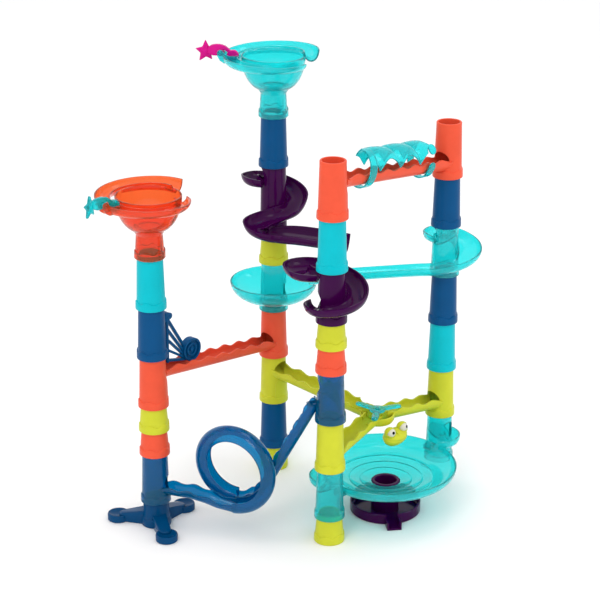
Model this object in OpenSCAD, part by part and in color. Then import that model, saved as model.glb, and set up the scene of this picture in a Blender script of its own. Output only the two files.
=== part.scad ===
// Marble run: four columns of stacked tubes carrying chutes, spirals, bowls, a loop and a drain dish.
// Millimetres, +Z up. The origin is the centre of the front column's foot, on the floor.

/* [Columns] */
// Distance between neighbouring columns
column_gap = 192; // [188:1:196]
// Height of a short tube above the one below it (a tall tube is twice this)
pitch = 28; // [28:0.5:29]
// Outer diameter of the collar at the bottom of each tube
collar_d = 33; // [32.5:0.5:34]
// Height of the collar
collar_h = 9; // [7:0.5:10]
// Outer diameter of a tube at its top, which is the spigot
spigot_d = 27.5; // [27.3:0.1:27.6]
// Depth that a spigot enters the collar above
spigot_h = 5; // [4:0.5:6]
// Inner diameter of a tube
bore_d = 23.2; // [22:0.2:23.4]
/* [Chutes] */
// Outer width of a straight chute
chute_w = 21; // [20:0.5:22]
// Wall thickness of chutes, bowls and dishes
wall = 1.8; // [1.6:0.1:2.2]
// Diameter of the openings that let a marble in or out of a tube
hole_d = 20; // [18:0.5:20.5]
// Height of the waves along a chute's rims
wave_h = 1.6; // [0.5:0.1:2]
// Length of one wave
wave_l = 23; // [20:0.5:26]
/* [Funnels and dishes] */
// Radius of a funnel's bowl at its rim
funnel_r = 33; // [31:0.5:34]
// Radius of the bowl on the back column
bowl_r = 47; // [45:0.5:48]
// Radius of the drain dish
dish_r = 76; // [74:0.5:77]
/* [Moving pieces] */
// Diameter of the pivot pins
pin_d = 3; // [2.8:0.1:3.2]
// Radial gap between a pin and the piece that turns on it
pin_gap = 0.05; // [0.02:0.01:0.1]
// Radius of the loop's centre line
loop_r = 37.5; // [37:0.5:38]
/* [Hidden] */
$fn = 64;
coral = [1.00, 0.39, 0.27];
lime = [0.87, 0.88, 0.25];
teal = [0, 0.78, 0.84];
navy = [0, 0.31, 0.52];
purple = [0.28, 0.03, 0.30];
clear_teal = [0, 0.87, 0.90, 0.6];
clear_blue = [0, 0.46, 0.65, 0.6];
clear_coral = [0.98, 0.50, 0.30, 0.6];
pink = [0.89, 0.10, 0.56];
clear_cyan = [0.64, 0.85, 0.88, 0.6];
cream = [0.92, 0.91, 0.84];
black = [0.05, 0.05, 0.05];

half_gap = column_gap / 2;
side_gap = column_gap * cos(30);
front = [0, 0];
left = [-side_gap, half_gap];
right = [side_gap, half_gap];
back = [0, column_gap];
tall = 2 * pitch;
collar_r = collar_d / 2;
spigot_r = spigot_d / 2;
bore_r = bore_d / 2;
socket_r = spigot_r + 0.15;
foot_r = 15.1;
hole_r = hole_d / 2;
pin_r = pin_d / 2;
eye_r = pin_r + pin_gap;
start_floor = 31;
end_floor = 11;

// ---- curves and swept channels ----
function curve(a, b, c, d, t) =
    0.5 * (2 * b + (c - a) * t + (2 * a - 5 * b + 4 * c - d) * t * t + (3 * b - a - 3 * c + d) * t * t * t);
function clamp_at(k, i) = k[max(0, min(len(k) - 1, i))];
function smooth(k, n) = [
    for (i = [0 : len(k) - 2])
        for (j = [0 : n - 1])
            curve(clamp_at(k, i - 1), k[i], k[i + 1], clamp_at(k, i + 2), j / n),
    k[len(k) - 1]
];
function unit(v) = v / norm(v);
function heading(p, i) =
    let (a = clamp_at(p, i - 1), b = clamp_at(p, i + 1))
    unit([b[0] - a[0], b[1] - a[1], b[2] - a[2]]);
// A key is [x, y, floor z, half width, left wall height, right wall height]
function section(k, thick, steps) = [
    for (i = [0 : steps])
        let (a = 180 + 180 * i / steps, h = i * 2 < steps ? k[4] : k[5])
        [(k[3] + thick) * cos(a), h + (h + thick) * sin(a)]
];
function placed(k, dir, pts) =
    let (side = unit([dir[1], -dir[0], 0]), up = cross(side, dir))
    [for (q = pts) [k[0], k[1], k[2]] + q[0] * side + q[1] * up];

module skin(rings) {
    // A closed tube of rings, each ring holding the same number of points
    n = len(rings[0]);
    m = len(rings);
    sides = [
        for (i = [0 : m - 2])
            for (j = [0 : n - 1])
                let (a = i * n + j, b = i * n + (j + 1) % n)
                each [[a, b, b + n], [a, b + n, a + n]]
    ];
    half = n / 2;
    ends = [
        for (j = [0 : half - 2])
            let (a = j, b = j + 1, c = n - 2 - j, d = n - 1 - j, o = (m - 1) * n)
            each [[a, c, b], [a, d, c], [o + a, o + b, o + c], [o + a, o + c, o + d]]
    ];
    polyhedron(points = [for (r = rings) each r], faces = concat(sides, ends), convexity = 8);
}

module channel(keys, n = 4, steps = 6, thick = wall) {
    // An open, round-bottomed channel along a smooth curve through the keys
    path = smooth(keys, n);
    rings = [
        for (i = [0 : len(path) - 1])
            let (k = path[i], d = heading(path, i))
            concat(
                placed(k, d, section(k, thick, steps)),
                placed(k, d, [for (q = [steps : -1 : 0]) section(k, 0, steps)[q]])
            )
    ];
    skin(rings);
}

function around(c, a, r) = [c[0] + r * cos(a), c[1] + r * sin(a)];
function polar_keys(c, rows) = [for (k = rows) concat(around(c, k[0], k[1]), [k[2], k[3], k[4], k[5]])];

// ---- tubes ----
module at(c, z = 0) {
    translate([c[0], c[1], z]) children();
}

module tube_body(h) {
    rotate_extrude()
        polygon([
            [socket_r, 0], [collar_r, 0], [collar_r, collar_h], [foot_r, collar_h + 0.6], [spigot_r, h],
            [spigot_r, h + spigot_h], [bore_r, h + spigot_h], [bore_r, spigot_h + 2],
            [socket_r, spigot_h]
        ]);
}

module side_hole(dir, z) {
    translate([0, 0, z])
        rotate([0, 90, dir])
            cylinder(r = hole_r, h = collar_r + 4);
}

module ramp(dir, z) {
    // A slanted plate inside a tube that turns a marble out through a side hole
    intersection() {
        translate([0, 0, z - 4]) cylinder(r = bore_r + 0.5, h = 24);
        rotate([90, 0, dir])
            linear_extrude(2 * collar_r, center = true)
                polygon([[-collar_r, z + 13], [collar_r, z], [collar_r, z - 2], [-collar_r, z + 11]]);
    }
}

module saddle(dir, z) {
    // The panel that stiffens a tube below a chute
    rotate([0, 0, dir - 42])
        rotate_extrude(angle = 84)
            translate([spigot_r + 0.4, 2]) square([1.9, z - 2]);
}

module bore_cut(h) {
    translate([0, 0, spigot_h + 1]) cylinder(r = bore_r, h = h + 2);
}

module chute_section(h = 16) {
    // A round-bottomed channel with straight sides, its floor at 0 and its rims at h
    r = chute_w / 2;
    difference() {
        union() {
            intersection() {
                translate([0, r - wall]) circle(r);
                translate([-r, -wall]) square([chute_w, r]);
            }
            translate([-r, r - wall]) square([chute_w, h - r + wall]);
        }
        translate([0, r - wall]) circle(r - wall);
        translate([wall - r, r - wall]) square([chute_w - 2 * wall, h]);
    }
}

module chute(length, z0, z1) {
    // A straight chute along +X with wavy rims, its floor falling from z0 to z1
    rim = chute_w / 2 + 1;
    count = round(length / wave_l * 6);
    slope = (z1 - z0) / length;
    intersection() {
        translate([0, 0, z0])
            rotate([0, -atan(slope), 0])
                rotate([90, 0, 90])
                    linear_extrude(length / cos(atan(slope))) chute_section();
        rotate([90, 0, 0])
            linear_extrude(chute_w + 4, center = true)
                polygon(concat(
                    [[0, z0 - 6], [length, z1 - 6]],
                    [
                        for (i = [count : -1 : 0])
                            let (x = i * length / count)
                            [x, z0 + slope * x + rim + wave_h * sin(360 * x / wave_l)]
                    ]
                ));
    }
}

function toward(a, b) = atan2(b[1] - a[1], b[0] - a[0]);

module bridge(a, b, z) {
    // Two tubes and the chute from the first down to the second, moulded in one
    dir = toward(a, b);
    difference() {
        union() {
            at(a, z) tube_body(tall);
            at(b, z) tube_body(tall);
            at(a, z) saddle(dir, start_floor);
            at(a, z)
                rotate([0, 0, dir])
                    translate([spigot_r - 0.6, 0, 0])
                        chute(column_gap - 2 * spigot_r + 1.2, start_floor, end_floor);
        }
        at(a, z) side_hole(dir, start_floor + hole_r - 0.4);
        at(b, z) side_hole(dir + 180, end_floor + hole_r - 0.4);
        at(a, z) bore_cut(tall);
        at(b, z) bore_cut(tall);
    }
    at(a, z) ramp(dir, start_floor);
}

// ---- left column ----
module left_base() {
    color(navy) at(left) {
        difference() {
            union() {
                tube_body(pitch);
                for (a = [30, 150, 270]) rotate([0, 0, a]) {
                    hull() {
                        translate([13, 0, 0]) cylinder(r = 8, h = 17, $fn = 32);
                        translate([34, 0, 0]) cylinder(r = 7, h = 9, $fn = 32);
                    }
                    translate([43, 0, 0]) cylinder(r = 12, h = 8);
                }
            }
            translate([0, 0, -1]) cylinder(r = socket_r, h = spigot_h + 1);
            bore_cut(pitch);
            for (a = [30, 150, 270])
                rotate([0, 0, a]) translate([43, 0, 26]) sphere(r = 20.5);
        }
    }
}

module left_coral_coupler() color(coral) at(left, 3 * pitch) tube_body(pitch);

module left_lime_coupler() color(lime) at(left, 4 * pitch) tube_body(pitch);

harp_dir = 30;
harp_z = 7 * pitch + 42;
harp_x = 21;
module left_navy_tube() {
    color(navy) at(left, 7 * pitch) {
        difference() {
            union() {
                tube_body(tall);
                rotate([0, 0, harp_dir])
                    for (s = [-1, 1])
                        translate([0, s * 5.5, 42]) rotate([90, 0, 0]) hull() {
                            translate([harp_x, 0, 0]) cylinder(r = 3.6, h = 2.2, center = true, $fn = 32);
                            translate([13.2, 0, 0]) cube([2, 11, 2.2], center = true);
                        }
            }
            bore_cut(tall);
            rotate([0, 0, harp_dir])
                translate([harp_x, 0, 42]) rotate([90, 0, 0]) cylinder(r = pin_r, h = 30, center = true);
        }
    }
}

module harp_pin() {
    color(navy) at(left, harp_z)
        rotate([0, 0, harp_dir])
            translate([harp_x, 0, 0]) rotate([90, 0, 0]) cylinder(r = pin_r, h = 14, center = true);
}

harp_tip = [57, 188 - harp_z];
module harp_flap() {
    color(navy) at(left, harp_z)
        rotate([0, 0, harp_dir]) {
            rotate([90, 0, 0])
                difference() {
                    union() {
                        translate([harp_x, 0, 0]) cylinder(r = 3.4, h = 8, center = true);
                        // back bar beside the tube
                        linear_extrude(6, center = true)
                            polygon([[19, -1], [22.4, -1], [22.4, -54], [19, -54]]);
                        // struts that fan out to the disc
                        for (k = [0 : 4])
                            let (a = [20.5, -2 - 12.6 * k], b = harp_tip + 10 * [cos(155 - 28 * k), sin(155 - 28 * k)],
                                 b2 = harp_tip + 10 * [cos(150 + 26 * k), sin(150 + 26 * k)],
                                 d = unit(b2 - a), w = [-d[1], d[0]] * 1.3)
                            linear_extrude(4, center = true) polygon([a - w, b2 - w, b2 + w, a + w]);
                        translate([harp_tip[0], harp_tip[1], 0]) {
                            cylinder(r = 12, h = 3, center = true);
                            difference() {
                                cylinder(r = 13, h = 8, center = true);
                                cylinder(r = 10.8, h = 9, center = true);
                            }
                            difference() {
                                cylinder(r = 7.4, h = 6.4, center = true);
                                cylinder(r = 5.4, h = 9, center = true);
                            }
                            cylinder(r = 2.2, h = 6.4, center = true);
                        }
                    }
                    translate([harp_x, 0, 0]) cylinder(r = eye_r, h = 30, center = true);
                }
        }
}

module left_teal_tube() color(teal) at(left, 9 * pitch) tube_body(tall);

// ---- funnels: a short tube, a bowl and an outer track that winds into it ----
funnel_neck = 33;
funnel_rim = 68;
lever_r = 57;
lever_z = 69;
left_lever_dir = 203;
back_lever_dir = 155;
track_start = -175;
module funnel(c, z, dir) {
    wide = funnel_r - bore_r;
    deep = funnel_rim - funnel_neck;
    bowl = [for (t = [0 : 10 : 90]) [bore_r + wide * sin(t), funnel_rim - deep * cos(t)]];
    bowl_out = [for (t = [90 : -10 : 0])
        [bore_r + 0.6 + (wide + wall - 0.6) * sin(t), funnel_rim - (deep + wall + 1) * cos(t)]];
    at(c, z) {
        difference() {
            union() {
                rotate_extrude()
                    polygon([
                        [socket_r, 0], [collar_r, 0], [collar_r, collar_h], [foot_r, collar_h + 0.6],
                        [spigot_r + 0.2, pitch - 2], [19, funnel_neck], [19, funnel_neck + 2], [bore_r, funnel_neck + 2],
                        [bore_r, spigot_h + 2], [socket_r, spigot_h]
                    ]);
                rotate_extrude() polygon(concat(bowl, bowl_out));
                channel(polar_keys([0, 0], [
                    for (s = [0 : 11])
                        let (t = s / 11)
                        [
                            dir + track_start + 330 * t, 41 + 7 * sin(180 * t) - 7 * t * t * t,
                            funnel_rim - 6 - 5 * t, 7 - t, 9 - 3 * t, 12 - 6 * t
                        ]
                ]), 2);
                // hook plate that carries the lever's pin
                rotate([0, 0, dir])
                    for (s = [-1, 1])
                        translate([lever_r - 10, s * 4.6, lever_z - 4]) cube([27, 2, 14], center = true);
            }
            translate([0, 0, spigot_h + 1]) cylinder(r = bore_r, h = funnel_neck + 4);
            rotate([0, 0, dir])
                translate([lever_r, 0, lever_z]) rotate([90, 0, 0]) cylinder(r = pin_r, h = 20, center = true);
            rotate([0, 0, dir])
                translate([lever_r - 6, 0, lever_z + 2.3]) cube([30, 7.2, 23.4], center = true);
        }
    }
}

module funnel_pin(c, z, dir) {
    at(c, z)
        rotate([0, 0, dir])
            translate([lever_r, 0, lever_z]) rotate([90, 0, 0]) cylinder(r = pin_r, h = 11.2, center = true);
}

star_r = 12;
star_out = 16.5;
star_turn = 28;
stopper_at = [-13, -3];
module star(r, h) {
    // A star that stands upright, with a point at its top
    rotate([90, 0, 0])
        linear_extrude(h, center = true)
            polygon([for (i = [0 : 9]) (i % 2 == 0 ? r : r * 0.5) * [cos(90 + 36 * i), sin(90 + 36 * i)]]);
}

module star_lever(c, z, dir) {
    // A seesaw: pressing the star lifts the stopper block out of the track
    at(c, z)
        rotate([0, 0, dir])
            translate([lever_r, 0, lever_z])
                difference() {
                    union() {
                        rotate([90, 0, 0]) cylinder(r = 3.6, h = 6.4, center = true);
                        translate([star_out, 0, 1]) rotate([0, 0, star_turn]) star(star_r, 3.4);
                        translate([star_out, 0, 1]) rotate([0, 0, star_turn]) star(star_r * 0.6, 5);
                        // arched band from the star over the hook to the stopper
                        rotate([90, 0, 0])
                            linear_extrude(5, center = true)
                                polygon([
                                    [14, 4.5], [10, 7.9], [5, 8.8], [1.6, 8.8], [-3.3, 7.6], [-8, 4.6], [-12, 1], [-12, -3],
                                    [-9, -2.5], [-7, 1], [-3, 3.2], [-2, 0], [1.5, -3], [5, -3.4], [8.6, -3.4], [12, -2],
                                    [14, 0]
                                ]);
                        translate([stopper_at[0], 0, stopper_at[1]]) intersection() {
                            sphere(r = 6.6);
                            cube([12.6, 6.4, 12], center = true);
                        }
                    }
                    rotate([90, 0, 0]) cylinder(r = eye_r, h = 20, center = true);
                }
}

left_funnel_z = 11 * pitch;
back_funnel_z = 15 * pitch;
module left_funnel() color(clear_coral) funnel(left, left_funnel_z, left_lever_dir);

module left_funnel_pin() color(clear_coral) funnel_pin(left, left_funnel_z, left_lever_dir);

module left_star_lever() color(clear_cyan) star_lever(left, left_funnel_z, left_lever_dir);

module back_funnel() color(clear_teal) funnel(back, back_funnel_z, back_lever_dir);

module back_funnel_pin() color(clear_teal) funnel_pin(back, back_funnel_z, back_lever_dir);

module back_star_lever() color(pink) star_lever(back, back_funnel_z, back_lever_dir);

// ---- loop ----
loop_dir = 150;
loop_u = 103;
loop_z = 75;
loop_shift = 11;
ring_r = 9.5;
ring_wall = 1.4;
function in_loop_frame(u, v, z) = [u * cos(loop_dir) + v * sin(loop_dir), u * sin(loop_dir) - v * cos(loop_dir), z];
function loop_side(t) = loop_shift - 2 * loop_shift * t / 360 + loop_shift * sin(t);
function loop_key(u, v, z, hw, hl, hr) = concat(in_loop_frame(u, v, z), [hw, hl, hr]);

module loop_drop_chute() {
    // The front column's tube and the steep chute down to the loop
    color(clear_blue)
        difference() {
            union() {
                at(front, 5 * pitch) tube_body(tall);
                at(front, 5 * pitch) saddle(loop_dir, start_floor - 8);
                channel([
                    loop_key(10, 0, 172, 8.6, 9, 9),
                    loop_key(17, 1, 150, 8.6, 9.5, 9.5),
                    loop_key(42, 4, 103, 8.4, 10, 10),
                    loop_key(66, 8, 58, 8.2, 9.5, 9.5),
                    loop_key(82, 10, 37, 8.1, 9, 9),
                    loop_key(101, 11, 29.4, 8.1, 8, 8)
                ], 4);
            }
            at(front, 5 * pitch) side_hole(loop_dir, start_floor + hole_r - 0.4);
            at(front, 5 * pitch) bore_cut(tall);
        }
    color(clear_blue) at(front, 5 * pitch) ramp(loop_dir, start_floor);
}

module loop_exit_chute() {
    // The left column's tube and the chute that feeds it
    color(clear_blue)
        difference() {
            union() {
                at(left, pitch) tube_body(tall);
                channel([
                    loop_key(105, -11, 29.4, 8.1, 8, 8),
                    loop_key(122, -10, 33.5, 8.2, 8.5, 8.5),
                    loop_key(140, -7, 37.4, 8.4, 9, 9),
                    loop_key(160, -3, 38.4, 8.6, 9, 9),
                    loop_key(column_gap - 10, 0, 38, 8.6, 9, 9)
                ], 3);
            }
            at(left, pitch) side_hole(loop_dir + 180, end_floor + hole_r - 0.4);
            at(left, pitch) bore_cut(tall);
        }
}

module loop_ring() {
    // A C-shaped track, open towards the loop's centre, shifted sideways as it goes round
    steps = 48;
    arc = [for (i = [0 : 8]) 60 + 240 * i / 8];
    rings = [
        for (i = [0 : steps])
            let (t = 4 + 352 * i / steps)
            concat(
                [for (a = arc) ring_point(t, a, ring_r)],
                [for (j = [8 : -1 : 0]) ring_point(t, arc[j], ring_r - ring_wall)]
            )
    ];
    color(clear_blue) skin(rings);
}
function ring_point(t, a, r) =
    let (d = loop_r - r * cos(a))
    in_loop_frame(loop_u + d * sin(t), loop_side(t) + r * sin(a), loop_z - d * cos(t));

// ---- back column ----
module back_foot() color(lime) at(back) tube_body(pitch);

module back_navy_tube_low() color(navy) at(back, pitch) tube_body(tall);

bowl_z = 34;
module back_bowl() {
    inner = [for (t = [0 : 10 : 90]) [spigot_r + (bowl_r - spigot_r) * sin(t), bowl_z - 22 * cos(t)]];
    outer = [for (t = [90 : -10 : 0]) [spigot_r + (bowl_r + wall - spigot_r) * sin(t), bowl_z - (22 + wall) * cos(t)]];
    color(clear_teal) at(back, 7 * pitch)
        difference() {
            union() {
                tube_body(tall);
                rotate_extrude() polygon(concat(inner, outer));
            }
            side_hole(-30, bowl_z - 22 + hole_r);
            bore_cut(tall);
        }
}

module back_lime_coupler() color(lime) at(back, 9 * pitch) tube_body(pitch);

purple_top = 13 * pitch;
module back_purple_slide() {
    // Leaves at the left, winds behind, right and in front, turns back at the left and runs out to the right
    z = purple_top;
    color(purple)
        difference() {
            union() {
                at(back, 10 * pitch) tube_body(3 * pitch);
                channel([
                    for (k = [
                        [-25, 9, z - 21, 8, 10, 10], [-19, 18, z - 23, 9, 10, 9], [-8, 24, z - 25, 10, 10, 8],
                        [8, 24, z - 30, 11, 11, 8], [21, 12, z - 37, 11.5, 12, 8], [24, -6, z - 44, 11.5, 12, 8],
                        [14, -22, z - 51, 10.5, 9, 10], [-2, -27, z - 54, 9.5, 4, 12], [-17, -26, z - 58, 11.5, 3, 12],
                        [-28, -28, z - 62, 13, 3, 12], [-29, -38, z - 66, 13, 4, 11], [-20, -44, z - 70, 12, 8, 10],
                        [-6, -45, z - 73, 11, 14, 10], [12, -54, z - 74, 10.5, 16, 10], [36, -68, z - 76, 10.5, 16, 10],
                        [58, -80.7, z - 78, 10.5, 15, 10]
                    ])
                        [back[0] + k[0], back[1] + k[1], k[2], k[3], k[4], k[5]]
                ], 3);
            }
            at(back, 10 * pitch) side_hole(161, 2 * pitch + 17);
            at(back, 10 * pitch) bore_cut(3 * pitch);
        }
    color(purple) at(back, 10 * pitch) ramp(161, 2 * pitch + 7);
}

module back_navy_tube_high() color(navy) at(back, 13 * pitch) tube_body(tall);

// ---- bridges ----
module orange_bridge_lower() color(coral) bridge(left, back, 5 * pitch);

module orange_bridge_upper() color(coral) bridge(front, right, 13 * pitch);

canopy_len = 112;
canopy_mid = 96;
canopy_r = 19;
canopy_wall = 1.8;
canopy_rise = 3.5;
rail_rim = chute_w / 2 + 1;
rail_slope = (start_floor - end_floor) / (column_gap - 2 * spigot_r + 1.2);
rail_mid_z = 13 * pitch + (start_floor + end_floor) / 2;
module canopy_ring(u, w, a0, a1, lift = 0) {
    // Part of a ring round the rail; angle 0 is the side away from the back column, 90 the top
    translate([u + w / 2, 0, 0])
        rotate([90, 0, -90]) rotate([0, 0, a0])
            rotate_extrude(angle = a1 - a0) translate([canopy_r - canopy_wall + lift, 0]) square([canopy_wall, w]);
}

module spiral_canopy() {
    // A half-round cover over the rail with arches along its sides and a clip under the rail at each end
    color(clear_teal)
        at(around(front, toward(front, right), canopy_mid), rail_mid_z + rail_rim + canopy_rise)
            rotate([0, atan(rail_slope), toward(front, right)]) {
                difference() {
                    canopy_ring(1.5, canopy_len - 15, 0, 180);
                    for (x = [-21.5, 12])
                        translate([x, 0, -5]) rotate([90, 0, 0]) cylinder(r = 15.4, h = 60, center = true);
                    translate([46, 0, -5]) rotate([90, 0, 0]) cylinder(r = 15.4, h = 30);
                }
                canopy_ring(-canopy_len / 2 + 6, 12, -130, 105, 0.4);
                canopy_ring(canopy_len / 2 - 6, 12, -225, -5, 0.4);
            }
}

// ---- frog junction ----
tray = [half_gap * cos(30) - 7, half_gap * 0.5 + 12];
tray_z = 104;
arm_end_z = 3 * pitch + end_floor;
module frog_arm(c, z0, z1) {
    // A chute between the tray and a column, cut flush with the tube
    dir = toward(tray, c);
    reach = norm(c - tray) - spigot_r + 0.6;
    translate([tray[0], tray[1], 0]) rotate([0, 0, dir]) chute(reach, z0, z1);
}

module frog_junction() {
    color(lime) {
        difference() {
            union() {
                for (c = [back, right, front]) at(c, 3 * pitch) tube_body(tall);
                at(back, 3 * pitch) saddle(toward(back, tray), start_floor);
                difference() {
                    union() {
                        frog_arm(back, tray_z, 3 * pitch + start_floor);
                        frog_arm(right, tray_z, arm_end_z);
                        frog_arm(front, tray_z, arm_end_z);
                        at(tray, tray_z - wall) cylinder(r = 19, h = 10.6);
                    }
                    at(tray, tray_z) cylinder(r = 17.2, h = 30);
                    at(tray, tray_z + 10.4) cylinder(r = 34, h = 30);
                    for (c = [back, right, front])
                        at(tray, tray_z + 1.6) rotate([0, 0, toward(tray, c)]) translate([10, -7, 0]) cube([14, 14, 20]);
                }
            }
            at(back, 3 * pitch) side_hole(toward(back, tray), start_floor + hole_r - 0.4);
            at(right, 3 * pitch) side_hole(toward(right, tray), end_floor + hole_r - 0.4);
            at(front, 3 * pitch) side_hole(toward(front, tray), end_floor + hole_r - 0.4);
            for (c = [back, right, front]) at(c, 3 * pitch) bore_cut(tall);
            at(tray, tray_z - 4) cylinder(r = pin_r, h = 8);
        }
        at(back, 3 * pitch) ramp(toward(back, tray), start_floor);
    }
}

module spinner_pin() {
    color(clear_teal) at(tray, tray_z - wall) {
        cylinder(r = pin_r, h = 15.8);
        translate([0, 0, wall]) cylinder(r = 3, h = 10.6);
        translate([0, 0, 15.8]) cylinder(r = 3, h = 1.4);
    }
}

spin_z = tray_z + 11.2;
module splash_spinner() {
    color(clear_teal) at(tray, spin_z)
        difference() {
            union() {
                cylinder(r = 9, h = 2.4);
                for (a = [-27, 93, 213]) rotate([0, 0, a + 30]) {
                    hull() {
                        cylinder(r = 6.5, h = 2.4, $fn = 32);
                        translate([24, 0, 0]) cylinder(r = 3.4, h = 2.4, $fn = 32);
                    }
                    translate([24, 0, 0]) cylinder(r = 4.6, h = 2.4);
                }
            }
            translate([0, 0, -1]) cylinder(r = eye_r, h = 6);
        }
}

head_dir = -60;
head_at = around([half_gap * cos(30), half_gap * 0.5], head_dir, 10);
module frog_head() {
    color(lime) at(head_at, 93)
        rotate([0, 0, head_dir])
            difference() {
                hull() {
                    for (s = [-1, 1]) {
                        translate([-3, s * 9, 1]) sphere(r = 7.5, $fn = 20);
                        translate([7, s * 6, -1]) sphere(r = 6.5, $fn = 20);
                    }
                    translate([2, 0, -6]) sphere(r = 6, $fn = 20);
                }
                for (s = [-1, 1]) translate([4, s * 10.5, 7.5]) sphere(r = 5.2);
            }
}

module frog_eyes() {
    color(cream) at(head_at, 93)
        rotate([0, 0, head_dir])
            for (s = [-1, 1])
                translate([4, s * 10.5, 7.5])
                    difference() {
                        sphere(r = 5.2);
                        rotate([0, 75, s * 12]) translate([0, 0, 4.6]) cylinder(r = 1.7, h = 3);
                    }
}

module frog_pupils() {
    color(black) at(head_at, 93)
        rotate([0, 0, head_dir])
            for (s = [-1, 1])
                translate([4, s * 10.5, 7.5]) rotate([0, 75, s * 12]) translate([0, 0, 4.6]) cylinder(r = 1.7, h = 0.9);
}

// ---- right column ----
module right_teal_tube() color(teal) at(right, 5 * pitch) tube_body(tall);

module right_navy_tube_low() color(navy) at(right, 7 * pitch) tube_body(tall);

module right_teal_slide() {
    // Leaves at the left, winds behind and right, then runs in front across to the back column's bowl
    z = 9 * pitch;
    color(clear_teal)
        difference() {
            union() {
                at(right, z) tube_body(tall);
                channel([
                    for (k = [
                        [-19, 9, z + 39, 6.5, 9, 7], [-11, 22, z + 37, 7.5, 10, 7], [4, 26, z + 34, 8.5, 11, 7],
                        [18, 20, z + 30, 10, 11, 7], [27, 2, z + 24, 11.5, 11, 7], [22, -15, z + 18, 11.5, 11, 7],
                        [5, -25, z + 14, 10.5, 10, 8], [-16, -23, z + 10, 9.5, 9, 9], [-40, -10, z + 7, 9, 9, 9],
                        [-75, 11, z + 1, 9, 9, 9], [-110, 31, z - 5, 9, 9, 9], [-139, 48, z - 12, 9, 9, 9]
                    ])
                        [right[0] + k[0], right[1] + k[1], k[2], k[3], k[4], k[5]]
                ], 3);
            }
            at(right, z) side_hole(161, 46);
            at(right, z) bore_cut(tall);
        }
    color(clear_teal) at(right, z) ramp(161, 36);
}

module right_navy_tube_high() color(navy) at(right, 11 * pitch) tube_body(tall);

// ---- front column ----
module front_foot() color(lime) at(front) tube_body(pitch);

module front_coral_coupler() color(coral) at(front, 7 * pitch) tube_body(pitch);

module front_lime_coupler() color(lime) at(front, 8 * pitch) tube_body(pitch);

module front_purple_spiral() {
    // A detour: out at the back left into a wide pan, behind, right, in front and back into the tube
    z = 9 * pitch;
    color(purple)
        difference() {
            union() {
                at(front, z) tube_body(tall);
                channel([
                    for (k = [
                        [-11, 10, z + 43, 7, 8, 9], [-24, 20, z + 42, 12, 10, 12], [-25, 38, z + 41, 13, 12, 10],
                        [-8, 46, z + 39, 13, 12, 8], [12, 38, z + 36, 12, 11, 8], [25, 20, z + 31, 11, 11, 8],
                        [27, 0, z + 25, 10.5, 11, 8], [18, -18, z + 20, 10.5, 11, 7], [0, -25, z + 17, 10, 10, 7],
                        [-17, -18, z + 15, 9.5, 9, 7], [-21, -3, z + 14, 8.5, 9, 7], [-12, 8, z + 13.5, 8, 8, 8]
                    ])
                        [k[0], k[1], k[2], k[3], k[4], k[5]]
                ], 3);
            }
            at(front, z) side_hole(140, 50 - 1);
            at(front, z) side_hole(161, 13 + hole_r);
            at(front, z) bore_cut(tall);
        }
    color(purple) at(front, z) ramp(140, 40);
}

module front_teal_tube() color(teal) at(front, 11 * pitch) tube_body(tall);

// ---- drain dish and its stand ----
dish = [half_gap * cos(30), half_gap * 0.5];
dish_floor = 35;
dish_rim = 56;
drain_r = 11.7;
hub_r = 16;
lip_r = 17;
lip_floor = 28;
lip_h = 12;
module lip() {
    // A short curved chute from the hole in a tube round into the dish, drawn with the dish's centre at the origin
    translate([lip_r - half_gap, 10, pitch + lip_floor + 0.6])
        rotate([0, 0, 40]) rotate_extrude(angle = 140) translate([lip_r, 0]) chute_section(lip_h);
}

module tube_space(h) {
    // The room that a tube takes up, for cutting a piece that wraps round it
    fit = 0.03;
    rotate_extrude()
        polygon([
            [0, -1], [collar_r + fit, -1], [collar_r + fit, collar_h], [foot_r + fit, collar_h + 0.6],
            [spigot_r + fit, h], [spigot_r + fit, h + 6], [0, h + 6]
        ]);
}

module whirl_tube(c, dir) {
    // A tube that lets a marble out sideways, towards dir
    at(c, pitch) {
        difference() {
            tube_body(tall);
            side_hole(dir, lip_floor + hole_r + 0.3);
        }
        ramp(dir, lip_floor);
    }
}

module whirl_front_tube() color(clear_teal) whirl_tube(front, toward(front, right) + 90);

module whirl_right_tube() color(clear_teal) whirl_tube(right, toward(front, right) - 90);

module whirl_basin() {
    dir = toward(front, right);
    mid_r = hub_r + 40;
    inner = [for (t = [0 : 15 : 90]) [mid_r + (dish_r - mid_r) * sin(t), dish_rim - 15 * cos(t)]];
    outer = [for (t = [90 : -15 : 0]) [mid_r + (dish_r + wall - mid_r) * sin(t), dish_rim - (15 + wall) * cos(t)]];
    color(clear_teal)
        difference() {
            at(dish) {
                rotate_extrude()
                    polygon(concat([[hub_r + 0.2, dish_floor]], inner, outer, [[hub_r + 0.2, dish_floor - wall]]));
                for (s = [0, 180])
                    rotate([0, 0, dir + s]) {
                        lip();
                        translate([spigot_r - half_gap, -5, dish_floor + 11]) cube([9, 10, 6]);
                    }
            }
            at(front, pitch) tube_space(tall);
            at(right, pitch) tube_space(tall);
        }
}

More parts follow.
